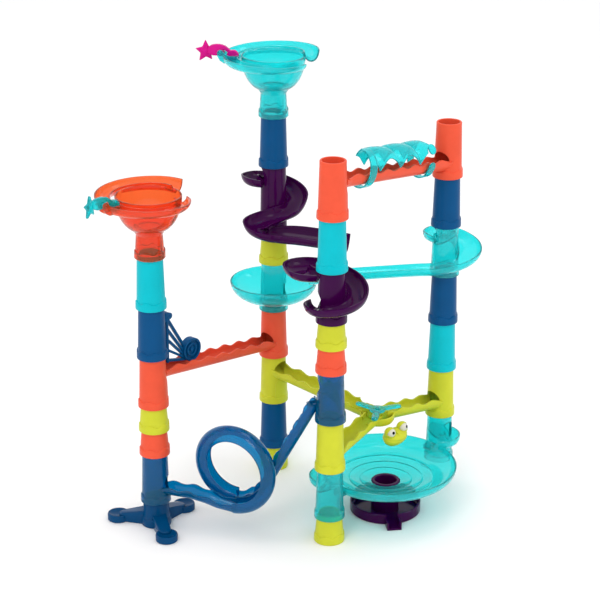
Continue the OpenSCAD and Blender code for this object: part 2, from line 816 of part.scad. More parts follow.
stand_r = 39;
spout_dir = -100;
stand_floor = 2.4;
module whirl_stand() {
    color(purple) at(dish)
        difference() {
            union() {
                rotate_extrude()
                    polygon([
                        [0, 0], [stand_r, 0], [stand_r, 12], [stand_r - 2, 12], [stand_r - 2, stand_floor],
                        [hub_r, stand_floor], [hub_r, dish_floor + 1.2], [drain_r, dish_floor + 1.2],
                        [drain_r, stand_floor], [0, stand_floor]
                    ]);
                rotate([0, 0, spout_dir])
                    translate([stand_r - 4, -8, 0])
                        difference() {
                            cube([18, 16, 9]);
                            translate([-1, wall, stand_floor]) cube([30, 16 - 2 * wall, 9]);
                        }
            }
            rotate([0, 0, spout_dir + 90]) translate([0, -9, stand_floor]) cube([hub_r + 4, 18, 19]);
            rotate([0, 0, spout_dir])
                translate([stand_r - 8, -8 + wall, stand_floor]) cube([12, 16 - 2 * wall, 12]);
        }
}

left_base();
left_coral_coupler();
left_lime_coupler();
left_navy_tube();
left_teal_tube();
left_funnel();
left_funnel_pin();
left_star_lever();
harp_pin();
harp_flap();
loop_drop_chute();
loop_exit_chute();
loop_ring();
back_foot();
back_navy_tube_low();
back_bowl();
back_lime_coupler();
back_purple_slide();
back_navy_tube_high();
back_funnel();
back_funnel_pin();
back_star_lever();
orange_bridge_lower();
orange_bridge_upper();
spiral_canopy();
frog_junction();
frog_head();
frog_eyes();
frog_pupils();
spinner_pin();
splash_spinner();
right_teal_tube();
right_navy_tube_low();
right_teal_slide();
right_navy_tube_high();
front_foot();
front_coral_coupler();
front_lime_coupler();
front_purple_spiral();
front_teal_tube();
whirl_front_tube();
whirl_right_tube();
whirl_basin();
whirl_stand();
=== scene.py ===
import math

import bpy
from mathutils import Matrix, Vector


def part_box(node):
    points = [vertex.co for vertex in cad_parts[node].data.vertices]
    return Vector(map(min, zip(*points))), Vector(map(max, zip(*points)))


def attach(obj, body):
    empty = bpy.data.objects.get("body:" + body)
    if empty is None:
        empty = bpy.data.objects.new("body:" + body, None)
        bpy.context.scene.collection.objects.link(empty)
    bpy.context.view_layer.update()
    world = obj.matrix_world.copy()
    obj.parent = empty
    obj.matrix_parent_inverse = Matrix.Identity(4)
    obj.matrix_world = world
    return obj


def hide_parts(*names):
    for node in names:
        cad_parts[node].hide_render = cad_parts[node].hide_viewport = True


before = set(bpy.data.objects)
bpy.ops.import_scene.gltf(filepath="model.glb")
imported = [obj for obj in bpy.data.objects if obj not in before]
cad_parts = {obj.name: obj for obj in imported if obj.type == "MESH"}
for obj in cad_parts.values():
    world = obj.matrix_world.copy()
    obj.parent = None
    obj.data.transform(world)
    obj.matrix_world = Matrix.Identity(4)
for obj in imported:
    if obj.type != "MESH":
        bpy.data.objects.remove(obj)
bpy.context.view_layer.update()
mm = 0.001

# ------------------------------------------------------------------ columns
pitch = 28            # rise of a short tube
tall = 2 * pitch


def nodeAxis(node):
    low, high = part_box(node)
    return Vector(((low.x + high.x) / 2 / mm, (low.y + high.y) / 2 / mm, 0))


frontAxis = nodeAxis("front_foot")
backAxis = nodeAxis("back_foot")
leftAxis = nodeAxis("left_lime_coupler")
rightAxis = nodeAxis("right_teal_tube")
gap = (backAxis - frontAxis).length
dishAxis = (frontAxis + rightAxis) / 2
level = {n: pitch * n for n in range(16)}
print("frame loaded, columns", round(gap, 1), "mm apart")

# ------------------------------------------------------------------ camera and light
cameraSet = {
    "place": (-0.6206, -1.7124, 0.9719),
    "turn": -18.9,        # degrees about the vertical
    "tilt": 69.07,        # degrees up from straight down
    "roll": 0.247,
    "lens": 114.12,
}


def addCamera():
    bpy.ops.object.camera_add(location=cameraSet["place"])
    camera = bpy.context.object
    camera.name = "camera"
    camera.data.lens = cameraSet["lens"]
    camera.data.sensor_width = 36
    camera.data.clip_end = 20
    turn = (
        Matrix.Rotation(math.radians(cameraSet["turn"]), 3, "Z")
        @ Matrix.Rotation(math.radians(cameraSet["tilt"]), 3, "X")
        @ Matrix.Rotation(math.radians(cameraSet["roll"]), 3, "Z")
    )
    camera.rotation_euler = turn.to_euler()
    bpy.context.scene.camera = camera


lightSet = {
    "sky": 1.0,                                        # brightness all round
    "key": {"place": (-1.5, -1.6, 2.2), "size": 1.2, "watts": 16},
    "fill": {"place": (1.9, -0.9, 1.3), "size": 0.9, "watts": 6},
    "top": {"place": (0.1, 0.2, 2.6), "size": 1.2, "watts": 7},
    "aim": (0.0, 0.1, 0.25),
}


def addLights():
    world = bpy.data.worlds.new("studio")
    bpy.context.scene.world = world
    world.use_nodes = True
    backdrop = world.node_tree.nodes["Background"]
    backdrop.inputs["Color"].default_value = (1, 1, 1, 1)
    backdrop.inputs["Strength"].default_value = lightSet["sky"]
    for name in ("key", "fill", "top"):
        spec = lightSet[name]
        bpy.ops.object.light_add(type="AREA", location=spec["place"])
        light = bpy.context.object
        light.name = name + "Light"
        light.data.shape = "DISK"
        light.data.size = spec["size"]
        light.data.energy = spec["watts"]
        aim = Vector(lightSet["aim"]) - Vector(spec["place"])
        light.rotation_euler = aim.to_track_quat("-Z", "Y").to_euler()
    bpy.context.scene.view_settings.view_transform = "Standard"


addCamera()
addLights()
print("camera and lights placed")


# ------------------------------------------------------------------ materials
def linear(colour):
    def one(c):
        c /= 255
        return c / 12.92 if c <= 0.04045 else ((c + 0.055) / 1.055) ** 2.4
    return tuple(one(c) for c in colour) + (1,)


def newMaterial(name):
    material = bpy.data.materials.new(name)
    material.use_nodes = True
    nodes = material.node_tree.nodes
    return material, nodes, material.node_tree.links, nodes["Principled BSDF"]


def objectNoise(nodes, links, scale, detail=3.0):
    where = nodes.new("ShaderNodeTexCoord")
    noise = nodes.new("ShaderNodeTexNoise")
    noise.inputs["Scale"].default_value = scale
    noise.inputs["Detail"].default_value = detail
    links.new(where.outputs["Object"], noise.inputs["Vector"])
    return noise


solidFinish = {
    "coral": {"colour": (255, 96, 66), "rough": 0.34},
    "lime": {"colour": (222, 226, 58), "rough": 0.34},
    "teal": {"colour": (0, 204, 218), "rough": 0.34},
    "navy": {"colour": (0, 84, 140), "rough": 0.32},
    "purple": {"colour": (66, 3, 72), "rough": 0.12},
    "glossNavy": {"colour": (0, 74, 124), "rough": 0.14},
    "pink": {"colour": (232, 22, 150), "rough": 0.2},
    "cream": {"colour": (240, 237, 222), "rough": 0.25},
    "black": {"colour": (14, 14, 14), "rough": 0.15},
}


solidShare = 0.8      # the studio light lifts every colour, so the paint itself is a little darker


def mouldedPlastic(name, spec):
    # solid moulded plastic: faint cloudiness in the colour and a very fine satin texture
    material, nodes, links, skin = newMaterial(name)
    base = [c * solidShare for c in linear(spec["colour"])[:3]]
    cloud = objectNoise(nodes, links, 55, 4)
    ramp = nodes.new("ShaderNodeValToRGB")
    ramp.color_ramp.elements[0].position = 0.3
    ramp.color_ramp.elements[1].position = 0.7
    ramp.color_ramp.elements[0].color = tuple(c * 0.94 for c in base) + (1,)
    ramp.color_ramp.elements[1].color = tuple(c * 1.03 for c in base) + (1,)
    links.new(cloud.outputs["Fac"], ramp.inputs["Fac"])
    links.new(ramp.outputs["Color"], skin.inputs["Base Color"])
    grain = objectNoise(nodes, links, 1400, 2)
    spread = nodes.new("ShaderNodeMapRange")
    spread.inputs["To Min"].default_value = spec["rough"] - 0.05
    spread.inputs["To Max"].default_value = spec["rough"] + 0.07
    links.new(cloud.outputs["Fac"], spread.inputs["Value"])
    links.new(spread.outputs["Result"], skin.inputs["Roughness"])
    bump = nodes.new("ShaderNodeBump")
    bump.inputs["Strength"].default_value = 0.06
    bump.inputs["Distance"].default_value = 0.0002
    links.new(grain.outputs["Fac"], bump.inputs["Height"])
    links.new(bump.outputs["Normal"], skin.inputs["Normal"])
    skin.inputs["IOR"].default_value = 1.48
    skin.inputs["Specular IOR Level"].default_value = 0.12
    return material


tintFinish = {
    "clearTeal": {"colour": (70, 244, 246), "takes": (0.97, 0.08, 0.07), "depth": 330, "clear": 0.82},
    "clearBlue": {"colour": (0, 150, 205), "takes": (1.0, 0.42, 0.22), "depth": 560, "clear": 0.80},
    "clearCoral": {"colour": (255, 140, 85), "takes": (0.02, 0.55, 0.97), "depth": 520, "clear": 0.84},
    "clearCyan": {"colour": (30, 234, 238), "takes": (0.97, 0.10, 0.08), "depth": 330, "clear": 0.74},
}


def tintedPlastic(name, spec):
    # see-through moulded plastic that deepens in colour with its thickness
    material, nodes, links, skin = newMaterial(name)
    skin.inputs["Base Color"].default_value = linear(spec["colour"])
    skin.inputs["Transmission Weight"].default_value = spec["clear"]
    skin.inputs["IOR"].default_value = 1.36
    skin.inputs["Specular IOR Level"].default_value = 0.3
    cloud = objectNoise(nodes, links, 40, 2)
    spread = nodes.new("ShaderNodeMapRange")
    spread.inputs["To Min"].default_value = 0.03
    spread.inputs["To Max"].default_value = 0.10
    links.new(cloud.outputs["Fac"], spread.inputs["Value"])
    links.new(spread.outputs["Result"], skin.inputs["Roughness"])
    tint = nodes.new("ShaderNodeVolumeAbsorption")
    tint.inputs["Color"].default_value = tuple(1 - t for t in spec["takes"]) + (1,)
    tint.inputs["Density"].default_value = spec["depth"]
    links.new(tint.outputs["Volume"], nodes["Material Output"].inputs["Volume"])
    return material


paint = {name: mouldedPlastic(name, spec) for name, spec in solidFinish.items()}
paint.update({name: tintedPlastic(name, spec) for name, spec in tintFinish.items()})
print(len(paint), "materials made")


# ------------------------------------------------------------------ making tools
def cleanSlate():
    if bpy.context.object and bpy.context.object.mode != "OBJECT":
        bpy.ops.object.mode_set(mode="OBJECT")
    bpy.ops.object.select_all(action="DESELECT")


def pick(piece):
    cleanSlate()
    piece.select_set(True)
    bpy.context.view_layer.objects.active = piece
    return piece


def applyAll(piece):
    pick(piece)
    for modifier in list(piece.modifiers):
        bpy.ops.object.modifier_apply(modifier=modifier.name)
    return piece


def spunPiece(name, outline, steps=96):
    # an outline of (radius, height) points, drawn by extruding one point along it, spun about the vertical
    cleanSlate()
    bpy.ops.mesh.primitive_plane_add(size=mm)
    piece = bpy.context.object
    piece.name = name
    bpy.ops.object.mode_set(mode="EDIT")
    bpy.ops.mesh.merge(type="CENTER")
    bpy.ops.transform.translate(value=(outline[0][0] * mm, 0, outline[0][1] * mm))
    points = list(outline)
    if points[0][0] > 0 or points[-1][0] > 0:
        points.append(points[0])      # an outline that starts and ends on the axis is closed already
    for before, after in zip(points, points[1:]):
        step = ((after[0] - before[0]) * mm, 0, (after[1] - before[1]) * mm)
        bpy.ops.mesh.extrude_region_move(TRANSFORM_OT_translate={"value": step})
    bpy.ops.mesh.select_all(action="SELECT")
    bpy.ops.mesh.spin(steps=steps, angle=2 * math.pi, center=(0, 0, 0), axis=(0, 0, 1))
    bpy.ops.mesh.select_all(action="SELECT")
    bpy.ops.mesh.remove_doubles(threshold=0.00001)
    bpy.ops.mesh.normals_make_consistent(inside=False)
    bpy.ops.object.mode_set(mode="OBJECT")
    return piece


def shapedSheet(name, along, across, place, thickness, offset=-1, even=True):
    # a grid bent to shape by place(u, v) with u and v from 0 to 1, then given its wall
    cleanSlate()
    bpy.ops.mesh.primitive_grid_add(x_subdivisions=along, y_subdivisions=across, size=1)
    piece = bpy.context.object
    piece.name = name
    for vertex in piece.data.vertices:
        vertex.co = Vector(place(vertex.co.x + 0.5, vertex.co.y + 0.5)) * mm
    wall = piece.modifiers.new("wall", "SOLIDIFY")
    wall.thickness = thickness * mm
    wall.offset = offset
    wall.use_even_offset = even
    applyAll(piece)
    return piece


def moved(piece, axis, height=0, turn=0):
    shift = Matrix.Translation((axis[0] * mm, axis[1] * mm, height * mm))
    piece.data.transform(shift @ Matrix.Rotation(math.radians(turn), 4, "Z"))
    return piece


def softened(piece, width=0.35, segments=2, angle=40):
    edge = piece.modifiers.new("edge", "BEVEL")
    edge.width = width * mm
    edge.segments = segments
    edge.limit_method = "ANGLE"
    edge.angle_limit = math.radians(angle)
    edge.use_clamp_overlap = True
    return applyAll(piece)


def booleanWith(piece, other, operation, selfCrossing=False):
    knife = piece.modifiers.new("boolean", "BOOLEAN")
    knife.operation = operation
    knife.object = other
    knife.solver = "EXACT"
    knife.use_self = selfCrossing
    applyAll(piece)
    bpy.data.objects.remove(other)
    return piece


def welded(piece, *others, selfCrossing=False):
    for other in others:
        booleanWith(piece, other, "UNION", selfCrossing)
    return piece


def joined(piece, *others):
    cleanSlate()
    for other in others:
        other.select_set(True)
    piece.select_set(True)
    bpy.context.view_layer.objects.active = piece
    bpy.ops.object.join()
    return piece


def cleaned(piece, reach=0.002):
    # closes the hair cracks that a boolean leaves where surfaces nearly touch
    pick(piece)
    bpy.ops.object.mode_set(mode="EDIT")
    bpy.ops.mesh.select_all(action="SELECT")
    bpy.ops.mesh.dissolve_degenerate(threshold=reach * mm)
    bpy.ops.mesh.remove_doubles(threshold=reach * mm)
    bpy.ops.object.mode_set(mode="OBJECT")
    return piece


def finished(piece, node, colour, body="columns", angle=35):
    pick(piece)
    bpy.ops.object.shade_smooth_by_angle(angle=math.radians(angle))
    piece.name = node + "Shape"
    piece.data.materials.clear()
    piece.data.materials.append(paint[colour])
    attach(piece, body)
    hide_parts(node)
    return piece


# ------------------------------------------------------------------ tubes
tubeSet = {
    "collar": 16.5, "socket": 13.9, "spigot": 13.75, "bore": 11.6, "foot": 15.1,
    "collarHeight": 9.0, "spigotDepth": 5.0,
    "waves": 6, "waveHeight": 1.25,
    "hole": 10.0,
}


def tubeOutline(height):
    t = tubeSet
    return [
        (t["socket"], 0.6), (t["socket"] + 0.6, 0), (t["collar"] - 0.8, 0), (t["collar"] - 0.15, 0.35),
        (t["collar"], 1.1), (t["collar"] - 0.1, 4.5), (t["collar"] - 0.2, t["collarHeight"] - 0.9),
        (t["collar"] - 0.45, t["collarHeight"] - 0.3), (t["collar"] - 0.95, t["collarHeight"]),
        (t["foot"] + 0.05, t["collarHeight"] + 0.25), (t["foot"] - 0.1, t["collarHeight"] + 3),
        (t["spigot"] + 0.02, height - 0.5),
        (t["spigot"], height + 4.3), (t["spigot"] - 0.5, height + 5), (t["bore"] + 0.4, height + 5),
        (t["bore"], height + 4.6), (t["bore"], 7), (t["socket"], 5),
    ]


def waveCollar(piece):
    # the collar's upper edge rises and falls six times round the tube
    t = tubeSet
    for vertex in piece.data.vertices:
        z = vertex.co.z / mm
        r = math.hypot(vertex.co.x, vertex.co.y) / mm
        if t["collarHeight"] - 1.5 < z < t["collarHeight"] + 1 and r > t["foot"] - 0.3:
            turn = math.atan2(vertex.co.y, vertex.co.x)
            vertex.co.z += t["waveHeight"] * math.cos(t["waves"] * turn) * mm


def makeTube(name, height):
    piece = spunPiece(name, tubeOutline(height))
    waveCollar(piece)
    return piece


masters = {}


def tubeCopy(height):
    # tubes of one height are shaped once and copied, each copy with its own mesh
    if height not in masters:
        first = makeTube("tube", height)
        masters[height] = first.data.copy()
        return first
    piece = bpy.data.objects.new("tube", masters[height].copy())
    bpy.context.scene.collection.objects.link(piece)
    return piece


def sideHole(axis, height, direction, radius=None):
    # the round tool that cuts a marble's way through a tube wall
    cleanSlate()
    reach = 12
    a = math.radians(direction)
    middle = Vector(axis) + 12 * Vector((math.cos(a), math.sin(a), 0))
    bpy.ops.mesh.primitive_cylinder_add(
        vertices=48, radius=(radius or tubeSet["hole"]) * mm, depth=2 * reach * mm,
        location=(middle.x * mm, middle.y * mm, height * mm), rotation=(0, math.pi / 2, a),
    )
    tool = bpy.context.object
    bpy.ops.object.transform_apply(location=True, rotation=True, scale=True)
    return tool


def rampPlate(axis, floor, direction):
    # the slanted plate inside a tube that turns a marble out of its hole
    r = tubeSet["bore"] + 0.3

    def place(u, v):
        x = 0.96 * r * (2 * u - 1)
        y = math.sqrt(r * r - x * x) * (2 * v - 1)
        return (x, y, floor + 6.5 - 6.5 * x / r)
    return moved(shapedSheet("ramp", 16, 10, place, 1.8, -1, False), axis, 0, direction)


def saddlePanel(axis, low, high, direction, half=40):
    # the raised panel on a tube below the start of a chute, with a rounded head
    def place(u, v):
        a = math.radians((2 * u - 1) * half)
        top = high - 7 * abs(2 * u - 1) ** 3
        z = low + (top - low) * v
        r = tubeSet["foot"] + 0.75 - 1.2 * (z - low) / (high - low + 20)
        return (r * math.cos(a), r * math.sin(a), z)
    return moved(shapedSheet("saddle", 24, 6, place, 1.6, -1, False), axis, 0, direction)


def angleTo(start, end):
    return math.degrees(math.atan2(end[1] - start[1], end[0] - start[0]))


plainTubes = {
    "left_coral_coupler": (leftAxis, 3, 1, "coral"), "left_lime_coupler": (leftAxis, 4, 1, "lime"),
    "left_teal_tube": (leftAxis, 9, 2, "teal"),
    "back_foot": (backAxis, 0, 1, "lime"), "back_navy_tube_low": (backAxis, 1, 2, "navy"),
    "back_lime_coupler": (backAxis, 9, 1, "lime"), "back_navy_tube_high": (backAxis, 13, 2, "navy"),
    "right_teal_tube": (rightAxis, 5, 2, "teal"), "right_navy_tube_low": (rightAxis, 7, 2, "navy"),
    "right_navy_tube_high": (rightAxis, 11, 2, "navy"),
    "front_foot": (frontAxis, 0, 1, "lime"), "front_coral_coupler": (frontAxis, 7, 1, "coral"),
    "front_lime_coupler": (frontAxis, 8, 1, "lime"), "front_teal_tube": (frontAxis, 11, 2, "teal"),
}
for node, (axis, base, units, colour) in plainTubes.items():
    finished(moved(tubeCopy(pitch * units), axis, level[base]), node, colour)
print(len(plainTubes), "plain tubes stacked")

# ------------------------------------------------------------------ straight chutes
chuteSet = {
    "half": 8.7, "wall": 1.8, "rim": 11.3, "wave": 1.5, "waveLength": 23.0,
    "start": 31.0, "end": 11.0, "flare": 2.6, "flareLength": 9.0,
}


def chuteWall(half, rim, v):
    # where v runs from 0 to 1 across the channel, from rim to rim
    s = 2 * v - 1
    side = 1 if s > 0 else -1
    s = abs(s)
    bend = 0.72
    if s < bend:
        a = s / bend * math.pi / 2
        return side * half * math.sin(a), half * (1 - math.cos(a))
    return side * half, half + (rim - half) * (s - bend) / (1 - bend)


def straightChute(start, end, startFloor, endFloor, grip=13.5, startTrim=None, flareStart=True, cap=None):
    # a chute whose ends wrap round the tubes; with startTrim it begins square at that distance instead
    c = chuteSet
    run = (Vector(end) - Vector(start)).length
    steps = max(24, int(run / 1.6))
    first = startTrim if startTrim is not None else grip
    length = run - first - grip

    def place(u, v):
        x = first + length * u
        fromEnd = min(x - first if flareStart else 99, run - grip - x)
        flare = c["flare"] * max(0, 1 - fromEnd / c["flareLength"]) ** 2
        rim = c["rim"] + c["wave"] * math.sin(2 * math.pi * x / c["waveLength"])
        y, z = chuteWall(c["half"] + flare, rim, v)
        hug = grip - math.sqrt(max(0, grip * grip - y * y))
        x += hug * max(0, 1 - (run - grip - x) / 12)
        if startTrim is None:
            x -= hug * max(0, 1 - (x - first) / 12)
        z += startFloor + (endFloor - startFloor) * u
        if cap:
            z = min(z, cap(x, y))
        return (x, y, z)
    piece = shapedSheet("chute", steps, 24, place, c["wall"], -1, False)
    return softened(moved(piece, start, 0, angleTo(start, end)), 0.3, 2, 60)


def bridgePiece(node, start, end, base):
    c = chuteSet
    z = level[base]
    way = angleTo(start, end)
    body = joined(moved(tubeCopy(tall), start, z), moved(tubeCopy(tall), end, z))
    hole = tubeSet["hole"]
    booleanWith(body, sideHole(start, z + c["start"] + hole - 0.6, way), "DIFFERENCE")
    booleanWith(body, sideHole(end, z + c["end"] + hole - 0.6, way + 180), "DIFFERENCE")
    chute = straightChute(start, end, z + c["start"], z + c["end"])
    ramp = rampPlate(start, z + c["start"] - 0.4, way)
    saddle = saddlePanel(start, z + 3, z + c["start"] + 1, way)
    joined(body, chute, ramp, saddle)
    return finished(body, node, "coral")


bridgePiece("orange_bridge_lower", leftAxis, backAxis, 5)
bridgePiece("orange_bridge_upper", frontAxis, rightAxis, 13)
print("bridges made")


# ------------------------------------------------------------------ curved channels
def smoothKeys(keys, fine):
    # a smooth curve through the keys, with everything in a key eased along with its place
    def at(i):
        return keys[max(0, min(len(keys) - 1, i))]
    path = []
    for i in range(len(keys) - 1):
        for j in range(fine):
            t = j / fine
            a, b, c, d = at(i - 1), at(i), at(i + 1), at(i + 2)
            path.append([
                0.5 * (2 * q + (r - p) * t + (2 * p - 5 * q + 4 * r - s) * t * t + (3 * q - p - 3 * r + s) * t ** 3)
                for p, q, r, s in zip(a, b, c, d)
            ])
    path.append(list(keys[-1]))
    return path


def sweptChannel(name, keys, axis, fine=6, across=20, wall=1.8, wave=0):
    # each key is (x, y, floor, half width, left rim height, right rim height) in millimetres from the axis
    path = smoothKeys(keys, fine)
    last = len(path) - 1
    run = [0]
    for before, after in zip(path, path[1:]):
        run.append(run[-1] + math.dist(before[:3], after[:3]))

    def place(u, v):
        i = round(u * last)
        here, before, after = path[i], path[max(0, i - 1)], path[min(last, i + 1)]
        way = Vector((after[0] - before[0], after[1] - before[1], after[2] - before[2])).normalized()
        side = Vector((way.y, -way.x, 0)).normalized()
        up = side.cross(way)
        half, left, right = here[3], here[4], here[5]
        a = math.pi * (1 + v)
        high = (left if v < 0.5 else right) + wave * math.sin(2 * math.pi * run[i] / chuteSet["waveLength"])
        spot = Vector(here[:3]) + side * half * math.cos(a) + up * high * (1 + math.sin(a))
        return spot
    piece = shapedSheet(name, last, across, place, wall, 1, False)
    moved(piece, axis)
    return softened(piece, 0.45, 2, 60)


def hugTube(piece, axis):
    # a channel that would stand inside a tube is pressed out into the tube's wall
    keep = (tubeSet["bore"] + 1.1) * mm
    for vertex in piece.data.vertices:
        x, y = vertex.co.x - axis[0] * mm, vertex.co.y - axis[1] * mm
        r = math.hypot(x, y)
        if r < keep:
            vertex.co.x += x * (keep / r - 1)
            vertex.co.y += y * (keep / r - 1)
    return piece


def tealSlide():
    z = level[9]
    keys = [
        (-13, -5, z + 40, 3, 6, 5), (-16, 3, z + 40, 4, 8, 6), (-13, 14, z + 38, 6, 9, 6.5), (2, 25, z + 34, 8.5, 11, 7),
        (19, 19, z + 30, 10.5, 11, 7), (27, 2, z + 24, 11.5, 11, 7), (22, -15, z + 18, 11.5, 11, 7),
        (5, -25, z + 14, 10.5, 10, 8), (-16, -23, z + 10, 9.5, 9, 9), (-40, -10, z + 7, 9, 9, 9),
        (-75, 11, z + 1, 9, 9, 9), (-110, 31, z - 5, 9, 9, 9), (-139, 48, z - 12, 9, 9, 9),
    ]
    body = moved(tubeCopy(tall), rightAxis, z)
    booleanWith(body, sideHole(rightAxis, z + 46, 161), "DIFFERENCE")
    slide = sweptChannel("slide", keys, rightAxis)
    hugTube(slide, rightAxis)
    welded(body, slide, rampPlate(rightAxis, z + 36, 161))
    return finished(body, "right_teal_slide", "clearTeal")


def tubeRoom(axis, z, height):
    # the room that a tube takes up, cut from what wraps round it
    t = tubeSet
    room = spunPiece("room", [
        (0, -1), (t["collar"] + 0.05, -1), (t["collar"] + 0.05, t["collarHeight"] + 1.2),
        (t["foot"] + 0.05, t["collarHeight"] + 1.5), (t["spigot"] + 0.1, height), (t["spigot"] + 0.1, height + 6), (0, height + 6),
    ])
    return moved(room, axis, z)


def purpleSlide():
    z = level[13]
    keys = [
        (-16, -8, z - 20, 2.5, 7, 6), (-23, -1, z - 20, 6, 9, 9), (-24, 9, z - 21, 8, 10, 10), (-19, 18, z - 23, 9, 10, 9),
        (-8, 24, z - 25, 10, 10, 8), (8, 24, z - 30, 11, 11, 8), (21, 12, z - 37, 11.5, 12, 8),
        (24, -6, z - 44, 11.5, 12, 8), (14, -22, z - 51, 10.5, 9, 10), (-2, -27, z - 54, 9.5, 4, 12),
        (-17, -26, z - 58, 11.5, 3, 12), (-28, -28, z - 62, 13, 3, 12), (-29, -38, z - 66, 13, 4, 11),
        (-20, -44, z - 70, 12, 8, 10), (-6, -45, z - 73, 11, 14, 10), (12, -54, z - 74, 10.5, 16, 10),
        (36, -68, z - 76, 10.5, 16, 10), (58, -80.7, z - 78, 10.5, 15, 10),
    ]
    body = moved(tubeCopy(3 * pitch), backAxis, level[10])
    booleanWith(body, sideHole(backAxis, z - 11, 161), "DIFFERENCE")
    slide = sweptChannel("slide", keys, backAxis)
    hugTube(slide, backAxis)
    joined(body, slide, rampPlate(backAxis, z - 21, 161))
    return finished(body, "back_purple_slide", "purple")


def purpleSpiral():
    z = level[9]
    keys = [
        (-11, 10, z + 43, 7, 8, 9), (-24, 20, z + 42, 12, 10, 12), (-25, 38, z + 41, 13, 12, 10),
        (-8, 46, z + 39, 13, 12, 8), (12, 38, z + 36, 12, 11, 8), (25, 20, z + 31, 11, 11, 8),
        (27, 0, z + 25, 10.5, 11, 8), (18, -18, z + 20, 10.5, 11, 7), (0, -25, z + 17, 10, 10, 7),
        (-17, -18, z + 15, 9.5, 9, 7), (-21, -3, z + 14, 8.5, 9, 7), (-12, 8, z + 13.5, 8, 8, 8),
    ]
    body = moved(tubeCopy(tall), frontAxis, z)
    booleanWith(body, sideHole(frontAxis, z + 49, 140), "DIFFERENCE")
    booleanWith(body, sideHole(frontAxis, z + 23, 161), "DIFFERENCE")
    slide = sweptChannel("slide", keys, frontAxis)
    hugTube(slide, frontAxis)
    joined(body, slide, rampPlate(frontAxis, z + 40, 140))
    return finished(body, "front_purple_spiral", "purple")


tealSlide()
purpleSlide()
purpleSpiral()
print("slides made")


# ------------------------------------------------------------------ plates and small solids
def platePiece(name, outline, thickness, edge=0.3):
    # a flat plate of any outline in the plane of x and y, centred on its thickness
    cleanSlate()
    bpy.ops.mesh.primitive_circle_add(vertices=len(outline), radius=mm, fill_type="NGON")
    piece = bpy.context.object
    piece.name = name
    for vertex, spot in zip(piece.data.vertices, outline):
        vertex.co = (spot[0] * mm, spot[1] * mm, 0)
    wall = piece.modifiers.new("wall", "SOLIDIFY")
    wall.thickness = thickness * mm
    wall.offset = 0
    applyAll(piece)
    bpy.ops.object.mode_set(mode="EDIT")
    bpy.ops.mesh.select_all(action="SELECT")
    bpy.ops.mesh.normals_make_consistent(inside=False)
    bpy.ops.object.mode_set(mode="OBJECT")
    return softened(piece, edge, 2, 50) if edge else piece


def turned(piece, axis, degrees):
    piece.data.transform(Matrix.Rotation(math.radians(degrees), 4, axis))
    return piece


def shifted(piece, x, y, z):
    piece.data.transform(Matrix.Translation((x * mm, y * mm, z * mm)))
    return piece


def upright(piece):
    # from the plane of x and y to the plane of x and z
    return turned(piece, "X", 90)


def roundBar(name, radius, length, edge=0.3):
    r, h = radius, length / 2
    outline = [(0, -h), (r - edge, -h), (r, -h + edge), (r, h - edge), (r - edge, h), (0, h)]
    return spunPiece(name, outline, 32)


def block(name, size, edge=0.6, segments=3):
    cleanSlate()
    bpy.ops.mesh.primitive_cube_add(size=1)
    piece = bpy.context.object
    piece.name = name
    piece.data.transform(Matrix.Diagonal((size[0] * mm, size[1] * mm, size[2] * mm, 1)))
    return softened(piece, edge, segments, 30)


def capsuleOutline(start, end, startRadius, endRadius, steps=9):
    # the outline of a bar with two round ends, by its middle line
    way = Vector((end[0] - start[0], end[1] - start[1]))
    lead = math.degrees(math.atan2(way.y, way.x))
    points = []
    for i in range(steps):
        a = math.radians(lead - 90 + 180 * i / (steps - 1))
        points.append((end[0] + endRadius * math.cos(a), end[1] + endRadius * math.sin(a)))
    for i in range(steps):
        a = math.radians(lead + 90 + 180 * i / (steps - 1))
        points.append((start[0] + startRadius * math.cos(a), start[1] + startRadius * math.sin(a)))
    return points


def ringOutline(radius, width, height, edge=0.4):
    return [
        (radius - width, -height / 2 + edge), (radius - width + edge, -height / 2), (radius - edge, -height / 2),
        (radius, -height / 2 + edge), (radius, height / 2 - edge), (radius - edge, height / 2),
        (radius - width + edge, height / 2), (radius - width, height / 2 - edge),
    ]


# ------------------------------------------------------------------ three-footed base
baseSet = {"directions": (30, 150, 270), "reach": 43, "padRadius": 12, "padHeight": 8}


def baseLeg():
    b = baseSet
    arm = platePiece("arm", capsuleOutline((12, 0), (35, 0), 8, 7), 9, 0)
    shifted(arm, 0, 0, 4.5)
    for vertex in arm.data.vertices:
        if vertex.co.z > 6 * mm:      # the arm's top rises towards the tube
            vertex.co.z += max(0, 0.008 - 0.33 * max(0, vertex.co.x - 0.014))
    softened(arm, 1.6, 4, 40)
    pad = spunPiece("pad", [
        (0, 5.5), (5, 6.0), (9.2, 7.2), (10.6, b["padHeight"]), (11.5, b["padHeight"] - 0.3),
        (b["padRadius"], b["padHeight"] - 1.4), (b["padRadius"], 0.9), (b["padRadius"] - 0.9, 0), (0, 0),
    ], 64)
    shifted(pad, b["reach"], 0, 0)
    return welded(arm, pad)


def makeBase():
    body = tubeCopy(pitch)
    leg = baseLeg()
    legs = [leg]
    for direction in baseSet["directions"][1:]:
        other = leg.copy()
        other.data = leg.data.copy()
        bpy.context.scene.collection.objects.link(other)
        turned(other, "Z", direction)
        legs.append(other)
    turned(leg, "Z", baseSet["directions"][0])
    for one in legs:
        cleanSlate()
        bpy.ops.mesh.primitive_cylinder_add(
            vertices=64, radius=13.95 * mm, depth=60 * mm, location=(0, 0, 0),
        )
        booleanWith(one, bpy.context.object, "DIFFERENCE")
    joined(body, *legs)
    return finished(moved(cleaned(body), leftAxis), "left_base", "glossNavy")


makeBase()
print("base made")

# ------------------------------------------------------------------ harp flap
harpSet = {
    "direction": 30, "height": 42, "reach": 21, "ear": 3.6, "earGap": 5.5, "earWall": 2.2,
    "disc": (57, -50), "discRadius": 13, "struts": 5,
}


